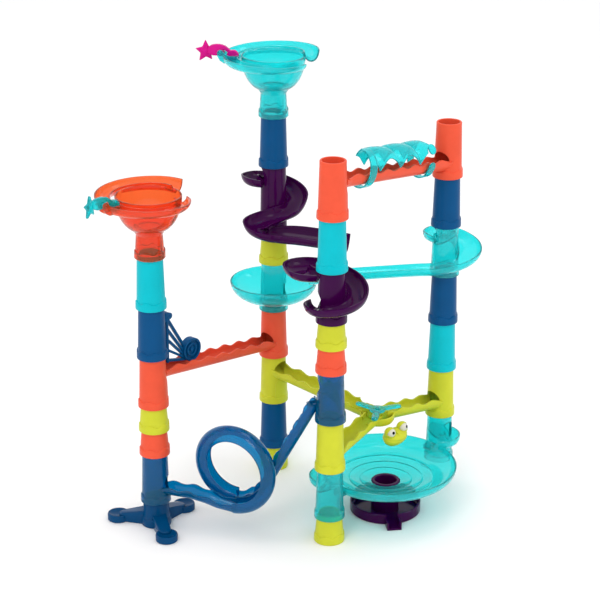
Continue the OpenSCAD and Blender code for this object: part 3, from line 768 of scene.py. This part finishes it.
def harpHome(piece):
    return moved(piece, leftAxis, level[7] + harpSet["height"], harpSet["direction"])


def makeHarpTube():
    h = harpSet
    body = tubeCopy(tall)
    for side in (-1, 1):
        outline = [(12.8, -5.5), (19, -4.4)]
        outline += [(h["reach"] + h["ear"] * math.cos(a), h["ear"] * math.sin(a))
                    for a in [math.radians(-60 + 15 * i) for i in range(9)]]
        outline += [(19, 4.4), (12.8, 5.5)]
        ear = upright(platePiece("ear", outline, h["earWall"]))
        joined(body, shifted(ear, 0, side * h["earGap"], h["height"]))
    return finished(moved(body, leftAxis, level[7], h["direction"]), "left_navy_tube", "navy")


def makeHarp():
    h = harpSet
    discX, discZ = h["disc"]
    eye = roundBar("eye", 3.4, 8)
    bar = platePiece("bar", [(19, 0), (22.4, 0), (22.4, -54), (20.7, -55.2), (19, -54)], 6, 0.5)
    parts = [bar]
    for k in range(h["struts"]):
        start = (20.6, -2 - 12.6 * k)
        a = math.radians(150 + 26 * k)
        end = (discX + 11 * math.cos(a), discZ + 11 * math.sin(a))
        parts.append(platePiece("strut", capsuleOutline(start, end, 1.5, 1.3), 4.2, 0.5))
    rim = shifted(spunPiece("rim", ringOutline(h["discRadius"], 2.2, 8), 64), discX, discZ, 0)
    inner = shifted(spunPiece("inner", ringOutline(7.4, 1.9, 6.6), 48), discX, discZ, 0)
    web = shifted(roundBar("web", 12, 2.8), discX, discZ, 0)
    boss = shifted(roundBar("boss", 2.4, 7, 0.6), discX, discZ, 0)
    shifted(eye, h["reach"], 0, 0)
    body = welded(eye, *parts)
    welded(body, web, rim, inner, boss)
    cleanSlate()
    bpy.ops.mesh.primitive_cylinder_add(vertices=48, radius=1.56 * mm, depth=30 * mm, location=(h["reach"] * mm, 0, 0))
    booleanWith(body, bpy.context.object, "DIFFERENCE")
    return finished(harpHome(upright(body)), "harp_flap", "navy", "flap")


makeHarpTube()
makeHarp()
pin = shifted(upright(roundBar("pin", 1.5, 14, 0.4)), harpSet["reach"], 0, 0)
finished(harpHome(pin), "harp_pin", "navy")
print("harp flap made")

# ------------------------------------------------------------------ funnels and star levers
funnelSet = {
    "neck": 33, "rim": 68, "radius": 33, "wall": 1.9,
    "leverReach": 57, "leverHeight": 69, "leftLever": 203, "backLever": 155, "trackStart": -175,
}


def polarKeys(start, sweep, count=16):
    keys = []
    for i in range(count):
        t = i / (count - 1)
        a = math.radians(start + sweep * t)
        r = 41 + 7 * math.sin(math.pi * t) - 7 * t ** 3
        keys.append((r * math.cos(a), r * math.sin(a), 62 - 5 * t, 7 - t, 9 - 3 * t, 12 - 6 * t))
    return keys


def makeFunnel(node, axis, base, direction, colour):
    f = funnelSet
    t = tubeSet
    neck = spunPiece("neck", [
        (t["socket"], 0.6), (t["socket"] + 0.6, 0), (t["collar"] - 0.8, 0), (t["collar"], 1.1),
        (t["collar"] - 0.2, t["collarHeight"] - 0.9), (t["collar"] - 0.95, t["collarHeight"]),
        (t["foot"] + 0.05, t["collarHeight"] + 0.25), (14.0, pitch - 2), (17.5, f["neck"] - 1.5), (19, f["neck"]),
        (19, f["neck"] + 2), (t["bore"], f["neck"] + 2), (t["bore"], 7), (t["socket"], 5),
    ])
    waveCollar(neck)
    inner, outer = [], []
    for i in range(15):
        a = math.radians(90 * i / 14)
        drop = f["rim"] - f["neck"]
        inner.append((t["bore"] + (f["radius"] - t["bore"]) * math.sin(a), f["rim"] - drop * math.cos(a)))
        outer.append((
            t["bore"] + 0.6 + (f["radius"] + f["wall"] - 0.6 - t["bore"]) * math.sin(a),
            f["rim"] - (drop + f["wall"] + 1) * math.cos(a),
        ))
    inner[-1] = (f["radius"] + 0.1, f["rim"] - 0.5)
    outer[-1] = (f["radius"] + f["wall"] - 0.1, f["rim"] - 0.5)
    lip = [(f["radius"] + 0.5, f["rim"]), (f["radius"] + f["wall"] - 0.5, f["rim"])]
    bowl = spunPiece("bowl", inner + lip + outer[::-1])
    track = sweptChannel("track", polarKeys(direction + f["trackStart"], 330), (0, 0, 0), 6, 14, 1.7)
    for one in (bowl, track):
        cleanSlate()
        bpy.ops.mesh.primitive_cylinder_add(vertices=96, radius=t["bore"] * mm, depth=62 * mm, location=(0, 0, 8 * mm))
        booleanWith(one, bpy.context.object, "DIFFERENCE")
    hooks = []
    for side in (-1, 1):
        x, z = f["leverReach"], f["leverHeight"]
        outline = [(x - 21, z - 11), (x - 4, z - 11), (x + 0.5, z - 8), (x + 3.3, z - 3)]
        outline += [(x + 3.5 * math.cos(a), z + 3.5 * math.sin(a)) for a in [math.radians(-15 + 20 * i) for i in range(10)]]
        outline += [(x - 4.5, z - 0.5), (x - 9, z - 3), (x - 21, z - 3)]
        hook = upright(platePiece("hook", outline, 2))
        turned(shifted(hook, 0, side * 4.6, 0), "Z", direction)
        hooks.append(hook)
    notch = shifted(block("notch", (30, 7.2, 21), 0.4), f["leverReach"] - 6, 0, f["leverHeight"] + 3.5)
    booleanWith(track, turned(notch, "Z", direction), "DIFFERENCE")
    body = welded(neck, bowl, track)
    return finished(moved(joined(cleaned(body), *hooks), axis, base), node, colour)


def makeFunnelPin(node, axis, base, direction, colour):
    f = funnelSet
    pin = upright(roundBar("pin", 1.5, 11.2, 0.4))
    turned(shifted(pin, f["leverReach"], 0, f["leverHeight"]), "Z", direction)
    return finished(moved(pin, axis, base), node, colour)


leverSet = {"star": 12.2, "starThick": 3.4, "starOut": 16.5, "starTurn": 28, "stopper": 6.6, "stopperAt": (-13, -3.3), "waist": 0.5}


def starOutline(radius, waist):
    points = []
    for i in range(10):
        a = math.radians(90 + 36 * i)
        r = radius if i % 2 == 0 else radius * waist
        points.append((r * math.cos(a), r * math.sin(a)))
    return points


def standingStar(radius, thick, edge):
    s = leverSet
    star = upright(platePiece("star", starOutline(radius, s["waist"]), thick, edge))
    return shifted(turned(star, "Z", s["starTurn"]), s["starOut"], 0, 1)


def makeStarLever(node, axis, base, direction, colour, body):
    s = leverSet
    f = funnelSet
    star = standingStar(s["star"], s["starThick"], 0.8)
    rise = standingStar(s["star"] * 0.6, 5, 0.5)
    eye = upright(roundBar("eye", 3.6, 6.4))
    band = upright(platePiece("band", [
        (14, 4.5), (12.4, 6.4), (10, 7.9), (7.5, 8.5), (5, 8.8), (1.6, 8.8), (-1, 8.4), (-3.3, 7.6), (-5.8, 6.2),
        (-8, 4.6), (-10.2, 2.9), (-12, 1), (-12, -3), (-9, -2.5), (-8.2, -0.5), (-7, 1), (-5, 2.4), (-3, 3.2),
        (-2, 0), (1.5, -3), (5, -3.4), (8.6, -3.4), (12, -2), (14, 0),
    ], 5.0, 0.6))
    ribs = []
    for k in range(5):       # low grips across the band where it falls to the stopper
        rib = turned(block("rib", (0.8, 5.4, 0.9), 0.25, 2), "Y", -42)
        ribs.append(shifted(rib, -4.6 - 1.5 * k, 0, 7.1 - 1.3 * k))
    cleanSlate()
    bpy.ops.mesh.primitive_uv_sphere_add(segments=48, ring_count=24, radius=s["stopper"] * mm)
    ball = shifted(bpy.context.object, s["stopperAt"][0], 0, s["stopperAt"][1])
    keep = shifted(block("keep", (12.4, 6.4, 12.0), 0.6), s["stopperAt"][0], 0, s["stopperAt"][1])
    booleanWith(ball, keep, "INTERSECT")
    lever = welded(eye, band, star, rise, ball, *ribs)
    hole = upright(roundBar("hole", 1.56, 20, 0.1))
    booleanWith(lever, hole, "DIFFERENCE")
    shifted(lever, f["leverReach"], 0, f["leverHeight"])
    turned(lever, "Z", direction)
    return finished(moved(lever, axis, base), node, colour, body)


makeFunnel("left_funnel", leftAxis, level[11], funnelSet["leftLever"], "clearCoral")
makeFunnelPin("left_funnel_pin", leftAxis, level[11], funnelSet["leftLever"], "clearCoral")
makeStarLever("left_star_lever", leftAxis, level[11], funnelSet["leftLever"], "clearCyan", "left_lever")
makeFunnel("back_funnel", backAxis, level[15], funnelSet["backLever"], "clearTeal")
makeFunnelPin("back_funnel_pin", backAxis, level[15], funnelSet["backLever"], "clearTeal")
makeStarLever("back_star_lever", backAxis, level[15], funnelSet["backLever"], "pink", "back_lever")
print("funnels and star levers made")

# ------------------------------------------------------------------ loop
loopSet = {"direction": 150, "middle": 103, "height": 75, "radius": 37.5, "shift": 11, "tube": 8.6, "wall": 1.6}


def loopPlace(u, v, z):
    a = math.radians(loopSet["direction"])
    return Vector((u * math.cos(a) + v * math.sin(a), u * math.sin(a) - v * math.cos(a), z))


def loopKeys(rows):
    return [tuple(loopPlace(r[0], r[1], r[2])) + tuple(r[3:]) for r in rows]


def makeLoopRing():
    l = loopSet

    def place(u, v):
        t = math.radians(1 + 358 * u)
        a = math.radians(62 + 236 * v)
        d = l["radius"] - l["tube"] * math.cos(a)
        side = l["shift"] - 2 * l["shift"] * t / (2 * math.pi) + l["shift"] * math.sin(t)
        spot = loopPlace(l["middle"] + d * math.sin(t), side + l["tube"] * math.sin(a), l["height"] - d * math.cos(t))
        return spot
    ring = shapedSheet("ring", 120, 28, place, l["wall"], -1)
    softened(ring, 0.5, 2, 60)
    return finished(ring, "loop_ring", "clearBlue")


def makeDropChute():
    z = level[5]
    body = moved(tubeCopy(tall), frontAxis, z)
    booleanWith(body, sideHole(frontAxis, z + 40.4, loopSet["direction"]), "DIFFERENCE")
    track = sweptChannel("track", loopKeys([
        (13.6, 0.5, 157, 8.6, 9, 9), (17, 1, 150, 8.6, 9.5, 9.5), (42, 4, 103, 8.4, 10, 10), (66, 8, 58, 8.2, 9.5, 9.5),
        (82, 10, 37, 8.1, 9, 9), (105, 11, 29.4, 8.1, 8, 8),
    ]), (0, 0, 0), 10, wave=1.3)
    hugTube(track, frontAxis)
    saddle = saddlePanel(frontAxis, z + 3, z + 23, loopSet["direction"])
    joined(body, track, rampPlate(frontAxis, z + 30.6, loopSet["direction"]), saddle)
    return finished(body, "loop_drop_chute", "clearBlue")


def makeExitChute():
    z = level[1]
    body = moved(tubeCopy(tall), leftAxis, z)
    booleanWith(body, sideHole(leftAxis, z + 20.4, loopSet["direction"] + 180), "DIFFERENCE")
    track = sweptChannel("track", loopKeys([
        (101, -11, 29.4, 8.1, 8, 8), (122, -10, 33.5, 8.2, 8.5, 8.5), (140, -7, 37.4, 8.4, 9, 9),
        (160, -3, 38.4, 8.6, 9, 9), (gap - 10, 0, 38, 8.6, 9, 9),
    ]), (0, 0, 0), 10, wave=1.3)
    hugTube(track, leftAxis)
    welded(body, track)
    return finished(body, "loop_exit_chute", "clearBlue")


makeLoopRing()
makeDropChute()
makeExitChute()
print("loop made")

# ------------------------------------------------------------------ bowl on the back column
bowlSet = {"radius": 47, "height": 34, "depth": 22, "wall": 1.9}


def makeBowl():
    b = bowlSet
    z = level[7]
    inner, outer = [], []
    for i in range(17):
        a = math.radians(90 * i / 16)
        inner.append((13.2 + (b["radius"] - 13.2) * math.sin(a), b["height"] - b["depth"] * math.cos(a)))
        outer.append((13.2 + (b["radius"] + b["wall"] - 13.2) * math.sin(a), b["height"] - (b["depth"] + b["wall"]) * math.cos(a)))
    inner[-1] = (b["radius"] + 0.1, b["height"] - 0.5)
    outer[-1] = (b["radius"] + b["wall"] - 0.1, b["height"] - 0.5)
    lip = [(b["radius"] + 0.5, b["height"]), (b["radius"] + b["wall"] - 0.5, b["height"])]
    bowl = moved(spunPiece("bowl", inner + lip + outer[::-1], 120), backAxis, z)
    body = moved(tubeCopy(tall), backAxis, z)
    booleanWith(body, sideHole(backAxis, z + b["height"] - b["depth"] + 10, -30), "DIFFERENCE")
    welded(body, bowl)
    return finished(cleaned(body), "back_bowl", "clearTeal")


makeBowl()
print("bowl made")

# ------------------------------------------------------------------ canopy over the upper bridge
canopySet = {
    "middle": 96, "length": 112, "wall": 1.6, "rise": 3.5,
    "radius": 17.4, "swell": 2.0, "bay": 33.3, "firstTip": -38, "twist": 25,
    "tip": -6, "arch": 35, "clipRadius": 18.9, "clipWidth": 10, "clipAt": 50, "narrow": 0.76,
    "leftClip": (-130, 100), "rightClip": (-225, -5), "discs": ((-50.2, 78), (50.2, 40)), "discRadius": 5.7,
}


def canopyHome(piece):
    k = canopySet
    c = chuteSet
    slope = (c["start"] - c["end"]) / (gap - 26.3)
    way = angleTo(frontAxis, rightAxis)
    piece.data.transform(Matrix.Rotation(math.atan(slope), 4, "Y"))
    a = math.radians(way)
    spot = (frontAxis[0] + k["middle"] * math.cos(a), frontAxis[1] + k["middle"] * math.sin(a))
    return moved(piece, spot, level[13] + (c["start"] + c["end"]) / 2 + 11.5 + k["rise"], way)


def makeCanopy():
    k = canopySet
    half = k["length"] / 2

    def bay(x, degrees):
        # 0 at a valley and 1 in the middle of a lobe; the valleys wind round as they cross over
        return abs(math.sin(math.pi * (x - k["firstTip"] + k["twist"] * degrees / 180) / k["bay"]))

    def shell(u, v):
        turn = 180 * v
        far = min(1, max(0, (turn - 110) / 30))
        left = -half + 11
        right = half - 15 + 7 * math.exp(-((turn - k["discs"][1][1]) / 16) ** 2) + 12 * far * far * (3 - 2 * far)
        x = left + (right - left) * u
        low = k["tip"] + k["arch"] * bay(x, 0) ** 0.8
        high = 180 - k["tip"] - k["arch"] * bay(x, 180) ** 0.8
        degrees = low + (high - low) * v
        r = k["radius"] + k["swell"] * bay(x, degrees) ** 0.7
        a = math.radians(degrees)
        return (x, -r * k["narrow"] * math.cos(a), r * math.sin(a))

    def onClip(x, degrees):
        a = math.radians(degrees)
        return (x, -k["clipRadius"] * k["narrow"] * math.cos(a), k["clipRadius"] * math.sin(a))

    body = softened(shapedSheet("shell", 150, 36, shell, k["wall"], 1, False), 0.4, 2, 60)
    for x, degrees in k["discs"]:
        def disc(u, v):
            s, t = 2 * u - 1, 2 * v - 1
            across = s * math.sqrt(1 - t * t / 2) * k["discRadius"]
            along = t * math.sqrt(1 - s * s / 2) * k["discRadius"] / k["radius"]
            return onClip(x + across, degrees + math.degrees(along))
        welded(body, softened(shapedSheet("disc", 24, 24, disc, k["wall"], 1, False), 0.4, 2, 60))
    for side, (start, end) in ((-1, k["leftClip"]), (1, k["rightClip"])):
        def clip(u, v):
            degrees = start + (end - start) * v
            fromEnd = min(1, (degrees - start) / 18, (end - degrees) / 18)
            width = k["clipWidth"] * (0.3 + 0.7 * math.sqrt(max(0, fromEnd * (2 - fromEnd))))
            return onClip(side * k["clipAt"] + width * (u - 0.5), degrees)
        welded(body, softened(shapedSheet("clip", 10, 60, clip, k["wall"], 1, False), 0.4, 2, 60))
    return finished(canopyHome(body), "spiral_canopy", "clearCyan", "canopy")


makeCanopy()
print("canopy made")

# ------------------------------------------------------------------ frog junction
traySet = {"floor": 104, "radius": 19, "wall": 1.8, "rim": 114.4}
trayAt = Vector((dishAxis[0] - 7, dishAxis[1] + 12, 0))


def makeJunction():
    z = level[3]
    y = traySet

    def underSpinner(x, side):
        # rims stay below the spinner's arms near the tray
        return y["rim"] + max(0, (math.hypot(x, side) - 32)) * 3
    body = None
    for axis in (backAxis, rightAxis, frontAxis):
        one = moved(tubeCopy(tall), axis, z)
        floor = chuteSet["start"] if axis is backAxis else chuteSet["end"]
        booleanWith(one, sideHole(axis, z + floor + 9.6, angleTo(axis, trayAt)), "DIFFERENCE")
        body = joined(body, one) if body else one
    arms = [
        straightChute(trayAt, axis, y["floor"], floor, 13.5, 6, False, underSpinner)
        for axis, floor in ((backAxis, z + chuteSet["start"]), (rightAxis, z + chuteSet["end"]), (frontAxis, z + chuteSet["end"]))
    ]
    tray = spunPiece("tray", [
        (0, -y["wall"]), (12, -y["wall"]), (17, -0.6), (y["radius"], 2.5), (y["radius"], 7.6), (y["radius"] - 0.5, 8.2),
        (y["radius"] - 1.4, 8.2), (y["radius"] - 1.8, 7.6), (y["radius"] - 2, 3), (15.5, 0.8), (11.5, 0), (0, 0),
    ])
    moved(tray, trayAt, y["floor"])
    for arm, axis in zip(arms, (backAxis, rightAxis, frontAxis)):
        gate = moved(shifted(block("gate", (16, 15.6, 20), 0.4), 18, 0, 10.3), trayAt, y["floor"], angleTo(trayAt, axis))
        booleanWith(tray, gate, "DIFFERENCE")
    joined(body, tray, *arms)
    joined(body, rampPlate(backAxis, z + 30.6, angleTo(backAxis, trayAt)),
           saddlePanel(backAxis, z + 3, z + 32, angleTo(backAxis, trayAt)))
    return finished(body, "frog_junction", "lime")


spinnerSet = {"directions": (3, 123, 243), "reach": 24, "tip": 4.6, "thick": 2.4, "lift": 11.2}


def makeSpinner():
    s = spinnerSet
    lobes = []
    for i in range(180):
        a = 2 * i
        best = 9.0
        for direction in s["directions"]:
            off = math.radians((a - direction + 180) % 360 - 180)
            if abs(off) < math.pi / 2:
                along = s["reach"] * math.cos(off)
                across = s["reach"] * abs(math.sin(off))
                if across < s["tip"]:
                    best = max(best, along + math.sqrt(s["tip"] ** 2 - across ** 2))
                half = 3.6
                if abs(math.sin(off)) > 0.001:
                    best = max(best, min(s["reach"], half / abs(math.sin(off))))
        lobes.append((best * math.cos(math.radians(a)), best * math.sin(math.radians(a))))
    smoothed = []
    count = len(lobes)
    for i in range(count):
        near = [lobes[(i + k) % count] for k in (-2, -1, 0, 1, 2)]
        smoothed.append((sum(p[0] for p in near) / 5, sum(p[1] for p in near) / 5))
    body = platePiece("spinner", smoothed, s["thick"], 0.5)
    bumps = [shifted(spunPiece("bump", [(0, 0.9), (1.8, 0.6), (2.6, 0), (2.6, -1.2), (0, -1.2)], 32), 0, 0, s["thick"] / 2)]
    for direction in s["directions"]:
        a = math.radians(direction)
        for reach, size in ((s["reach"], 2.9), (14.5, 1.9)):
            bump = spunPiece("bump", [(0, 0.8), (size * 0.6, 0.6), (size, 0), (size, -1.2), (0, -1.2)], 32)
            bumps.append(shifted(bump, reach * math.cos(a), reach * math.sin(a), s["thick"] / 2))
    welded(body, *bumps)
    cleanSlate()
    bpy.ops.mesh.primitive_cylinder_add(vertices=48, radius=1.56 * mm, depth=12 * mm)
    booleanWith(body, bpy.context.object, "DIFFERENCE")
    moved(body, trayAt, traySet["floor"] + s["lift"] + s["thick"] / 2)
    return finished(body, "splash_spinner", "clearTeal", "spinner")


def makeSpinnerPin():
    w = traySet["wall"]
    pin = spunPiece("pin", [
        (0, 0), (1.5, 0), (1.5, w), (3, w), (3, w + 10.6), (1.5, w + 10.6), (1.5, 15.8), (2.8, 15.8),
        (3, 16.1), (2.7, 16.8), (1.6, 17.2), (0, 17.2),
    ], 40)
    return finished(moved(pin, trayAt, traySet["floor"] - w), "spinner_pin", "clearTeal")


frogSet = {
    "direction": -60, "forward": 10, "height": 93, "eyeRadius": 5.2, "eyeForward": 4, "eyeOut": 10.5, "eyeUp": 7.5,
}


def frogHome(piece):
    f = frogSet
    a = math.radians(f["direction"])
    spot = (dishAxis[0] + f["forward"] * math.cos(a), dishAxis[1] + f["forward"] * math.sin(a))
    return moved(piece, spot, f["height"], f["direction"])


def makeFrogHead():
    f = frogSet
    cleanSlate()
    bpy.ops.mesh.primitive_uv_sphere_add(segments=64, ring_count=40, radius=1)
    head = bpy.context.object
    head.name = "head"
    for vertex in head.data.vertices:
        x, y, z = vertex.co
        wide = 16.2 * (1 + 0.10 * x)
        up = 8.6 + 2.6 * max(0, abs(y) - 0.2)
        down = 10.5
        vertex.co = (
            (1.0 + 11.6 * x * (1 - 0.15 * abs(z))) * mm,
            wide * y * mm,
            (up if z > 0 else down) * z * mm - 0.8 * mm,
        )
        # a wide mouth line, pressed in round the front
        if x > 0.1:
            mouth = -2.2 + 1.6 * (abs(y) * 1.3) ** 2
            close = (vertex.co.z / mm - mouth) / 0.9
            press = 0.9 * math.exp(-close * close)
            vertex.co.x -= press * mm * min(1, (x - 0.1) * 3)
    sockets = []
    for side in (-1, 1):
        cleanSlate()
        bpy.ops.mesh.primitive_uv_sphere_add(segments=40, ring_count=24, radius=(f["eyeRadius"] + 1.3) * mm)
        sockets.append(shifted(bpy.context.object, f["eyeForward"] - 0.9, side * f["eyeOut"], f["eyeUp"] - 0.6))
    welded(head, *sockets)
    for side in (-1, 1):
        cleanSlate()
        bpy.ops.mesh.primitive_uv_sphere_add(segments=40, ring_count=24, radius=f["eyeRadius"] * mm)
        eye = shifted(bpy.context.object, f["eyeForward"], side * f["eyeOut"], f["eyeUp"])
        booleanWith(head, eye, "DIFFERENCE")
        # the lid is open towards the front
        lid = block("lid", (14, 15, 14), 0.6)
        turned(lid, "Y", 24)
        shifted(lid, f["eyeForward"] + 8.2, side * f["eyeOut"], f["eyeUp"] + 2.4)
        booleanWith(head, lid, "DIFFERENCE")
    return finished(frogHome(head), "frog_head", "lime", "columns", 45)


def makeFrogEyes():
    f = frogSet
    eyes, pupils = None, None
    for side in (-1, 1):
        cleanSlate()
        bpy.ops.mesh.primitive_uv_sphere_add(segments=48, ring_count=32, radius=(f["eyeRadius"] - 0.05) * mm)
        eye = shifted(bpy.context.object, f["eyeForward"], side * f["eyeOut"], f["eyeUp"])
        pupil = spunPiece("pupil", [(0, 5.35), (1.2, 5.25), (1.75, 5.0), (1.75, 4.4), (0, 4.4)], 32)
        turned(pupil, "Y", 75)
        turned(pupil, "Z", side * 12)
        shifted(pupil, f["eyeForward"], side * f["eyeOut"], f["eyeUp"])
        eyes = joined(eyes, eye) if eyes else eye
        pupils = joined(pupils, pupil) if pupils else pupil
    finished(frogHome(eyes), "frog_eyes", "cream")
    finished(frogHome(pupils), "frog_pupils", "black")


makeJunction()
makeSpinnerPin()
makeSpinner()
makeFrogHead()
makeFrogEyes()
print("frog junction made")

# ------------------------------------------------------------------ drain dish and stand
dishSet = {
    "floor": 35, "rim": 56, "radius": 76, "hub": 16.2, "wall": 1.8, "ridges": (28, 40, 52),
    "lipRadius": 17, "lipFloor": 28.6, "lipHeight": 12,
}


def makeLip():
    d = dishSet

    def place(u, v):
        a = math.radians(40 + 140 * u)
        y, z = chuteWall(8.7, d["lipHeight"] - 0.8, v)
        r = d["lipRadius"] + y
        return (r * math.cos(a), r * math.sin(a), z)
    lip = shapedSheet("lip", 40, 20, lambda u, v: place(u, 1 - v), 1.8, 1)
    softened(lip, 0.3, 2, 60)
    return shifted(lip, d["lipRadius"] - gap / 2, 10, pitch + d["lipFloor"])


def makeDish():
    d = dishSet
    inner, outer = [(d["hub"], d["floor"])], [(d["hub"], d["floor"] - d["wall"])]
    for i in range(11):
        a = math.radians(90 * i / 10)
        inner.append((56 + (d["radius"] - 56) * math.sin(a), d["rim"] - 15 * math.cos(a)))
        outer.append((56 + (d["radius"] + d["wall"] - 56) * math.sin(a), d["rim"] - (15 + d["wall"]) * math.cos(a)))
    for k, r in enumerate(d["ridges"]):      # low rings that stand proud of the dish's floor
        z = d["floor"] + (r - d["hub"]) / (56 - d["hub"]) * 6
        inner[1 + 3 * k:1 + 3 * k] = [(r - 1.1, z - 0.1), (r, z + 0.8), (r + 1.1, z + 0.25)]
    inner[-1] = (d["radius"] + 0.1, d["rim"] - 0.5)
    outer[-1] = (d["radius"] + d["wall"] - 0.1, d["rim"] - 0.5)
    edge = [(d["radius"] + 0.5, d["rim"]), (d["radius"] + d["wall"] - 0.5, d["rim"])]
    dish = spunPiece("dish", inner + edge + outer[::-1], 144)
    way = angleTo(frontAxis, rightAxis)
    lips = []
    for turn in (0, 180):
        lip = makeLip()
        tie = shifted(block("tie", (9, 10, 6), 0.5), 13.75 - gap / 2 + 4.5, 0, d["floor"] + 14)
        lips += [turned(lip, "Z", way + turn), turned(tie, "Z", way + turn)]
    for one in [dish] + lips:
        moved(one, dishAxis)
    welded(dish, *lips)
    for axis, side, node in ((frontAxis, 90, "whirl_front_tube"), (rightAxis, -90, "whirl_right_tube")):
        booleanWith(dish, tubeRoom(axis, pitch, tall), "DIFFERENCE")
        tube = moved(tubeCopy(tall), axis, pitch)
        booleanWith(tube, sideHole(axis, pitch + 38.3, way + side), "DIFFERENCE")
        welded(tube, rampPlate(axis, pitch + 28, way + side))
        finished(tube, node, "clearTeal")
    return finished(dish, "whirl_basin", "clearTeal")


standSet = {"radius": 39, "rim": 12, "floor": 2.4, "hub": 16, "drain": 11.7, "spout": -100, "top": 36.2}


def makeStand():
    s = standSet
    body = spunPiece("stand", [
        (0, 0), (s["radius"] - 1, 0), (s["radius"], 1), (s["radius"], s["rim"] - 0.8), (s["radius"] - 0.6, s["rim"]),
        (s["radius"] - 1.6, s["rim"]), (s["radius"] - 2, s["rim"] - 0.6), (s["radius"] - 2.2, s["floor"] + 1.2),
        (s["radius"] - 3.4, s["floor"]), (s["hub"], s["floor"]), (s["hub"], s["top"] - 1), (s["hub"] - 1, s["top"]),
        (s["drain"] + 0.8, s["top"]), (s["drain"], s["top"] - 1), (s["drain"], s["floor"]), (0, s["floor"]),
    ])
    spout = shifted(block("spout", (18, 16, 9), 0.5), s["radius"] + 5, 0, 4.5)
    hollow = shifted(block("hollow", (30, 12.4, 12), 0.5), s["radius"] + 10, 0, s["floor"] + 6)
    booleanWith(spout, hollow, "DIFFERENCE")
    welded(body, turned(spout, "Z", s["spout"]))
    window = shifted(block("window", (20, 18, 19), 2.5), 10, 0, s["floor"] + 9.5)
    booleanWith(body, turned(window, "Z", s["spout"] + 90), "DIFFERENCE")
    gate = shifted(block("gate", (12, 12.4, 14), 0.5), s["radius"] - 2, 0, s["floor"] + 7)
    booleanWith(body, turned(gate, "Z", s["spout"]), "DIFFERENCE")
    return finished(moved(body, dishAxis), "whirl_stand", "purple")


makeDish()
makeStand()
print("dish and stand made")

floorSet = {"size": 14, "colour": (250, 250, 250)}


def addFloor():
    cleanSlate()
    bpy.ops.mesh.primitive_plane_add(size=floorSet["size"], location=(0, 2, 0))
    floor = bpy.context.object
    floor.name = "floor"
    material, nodes, links, skin = newMaterial("floorPaint")
    skin.inputs["Base Color"].default_value = linear(floorSet["colour"])
    skin.inputs["Roughness"].default_value = 0.9
    floor.data.materials.append(material)


addFloor()
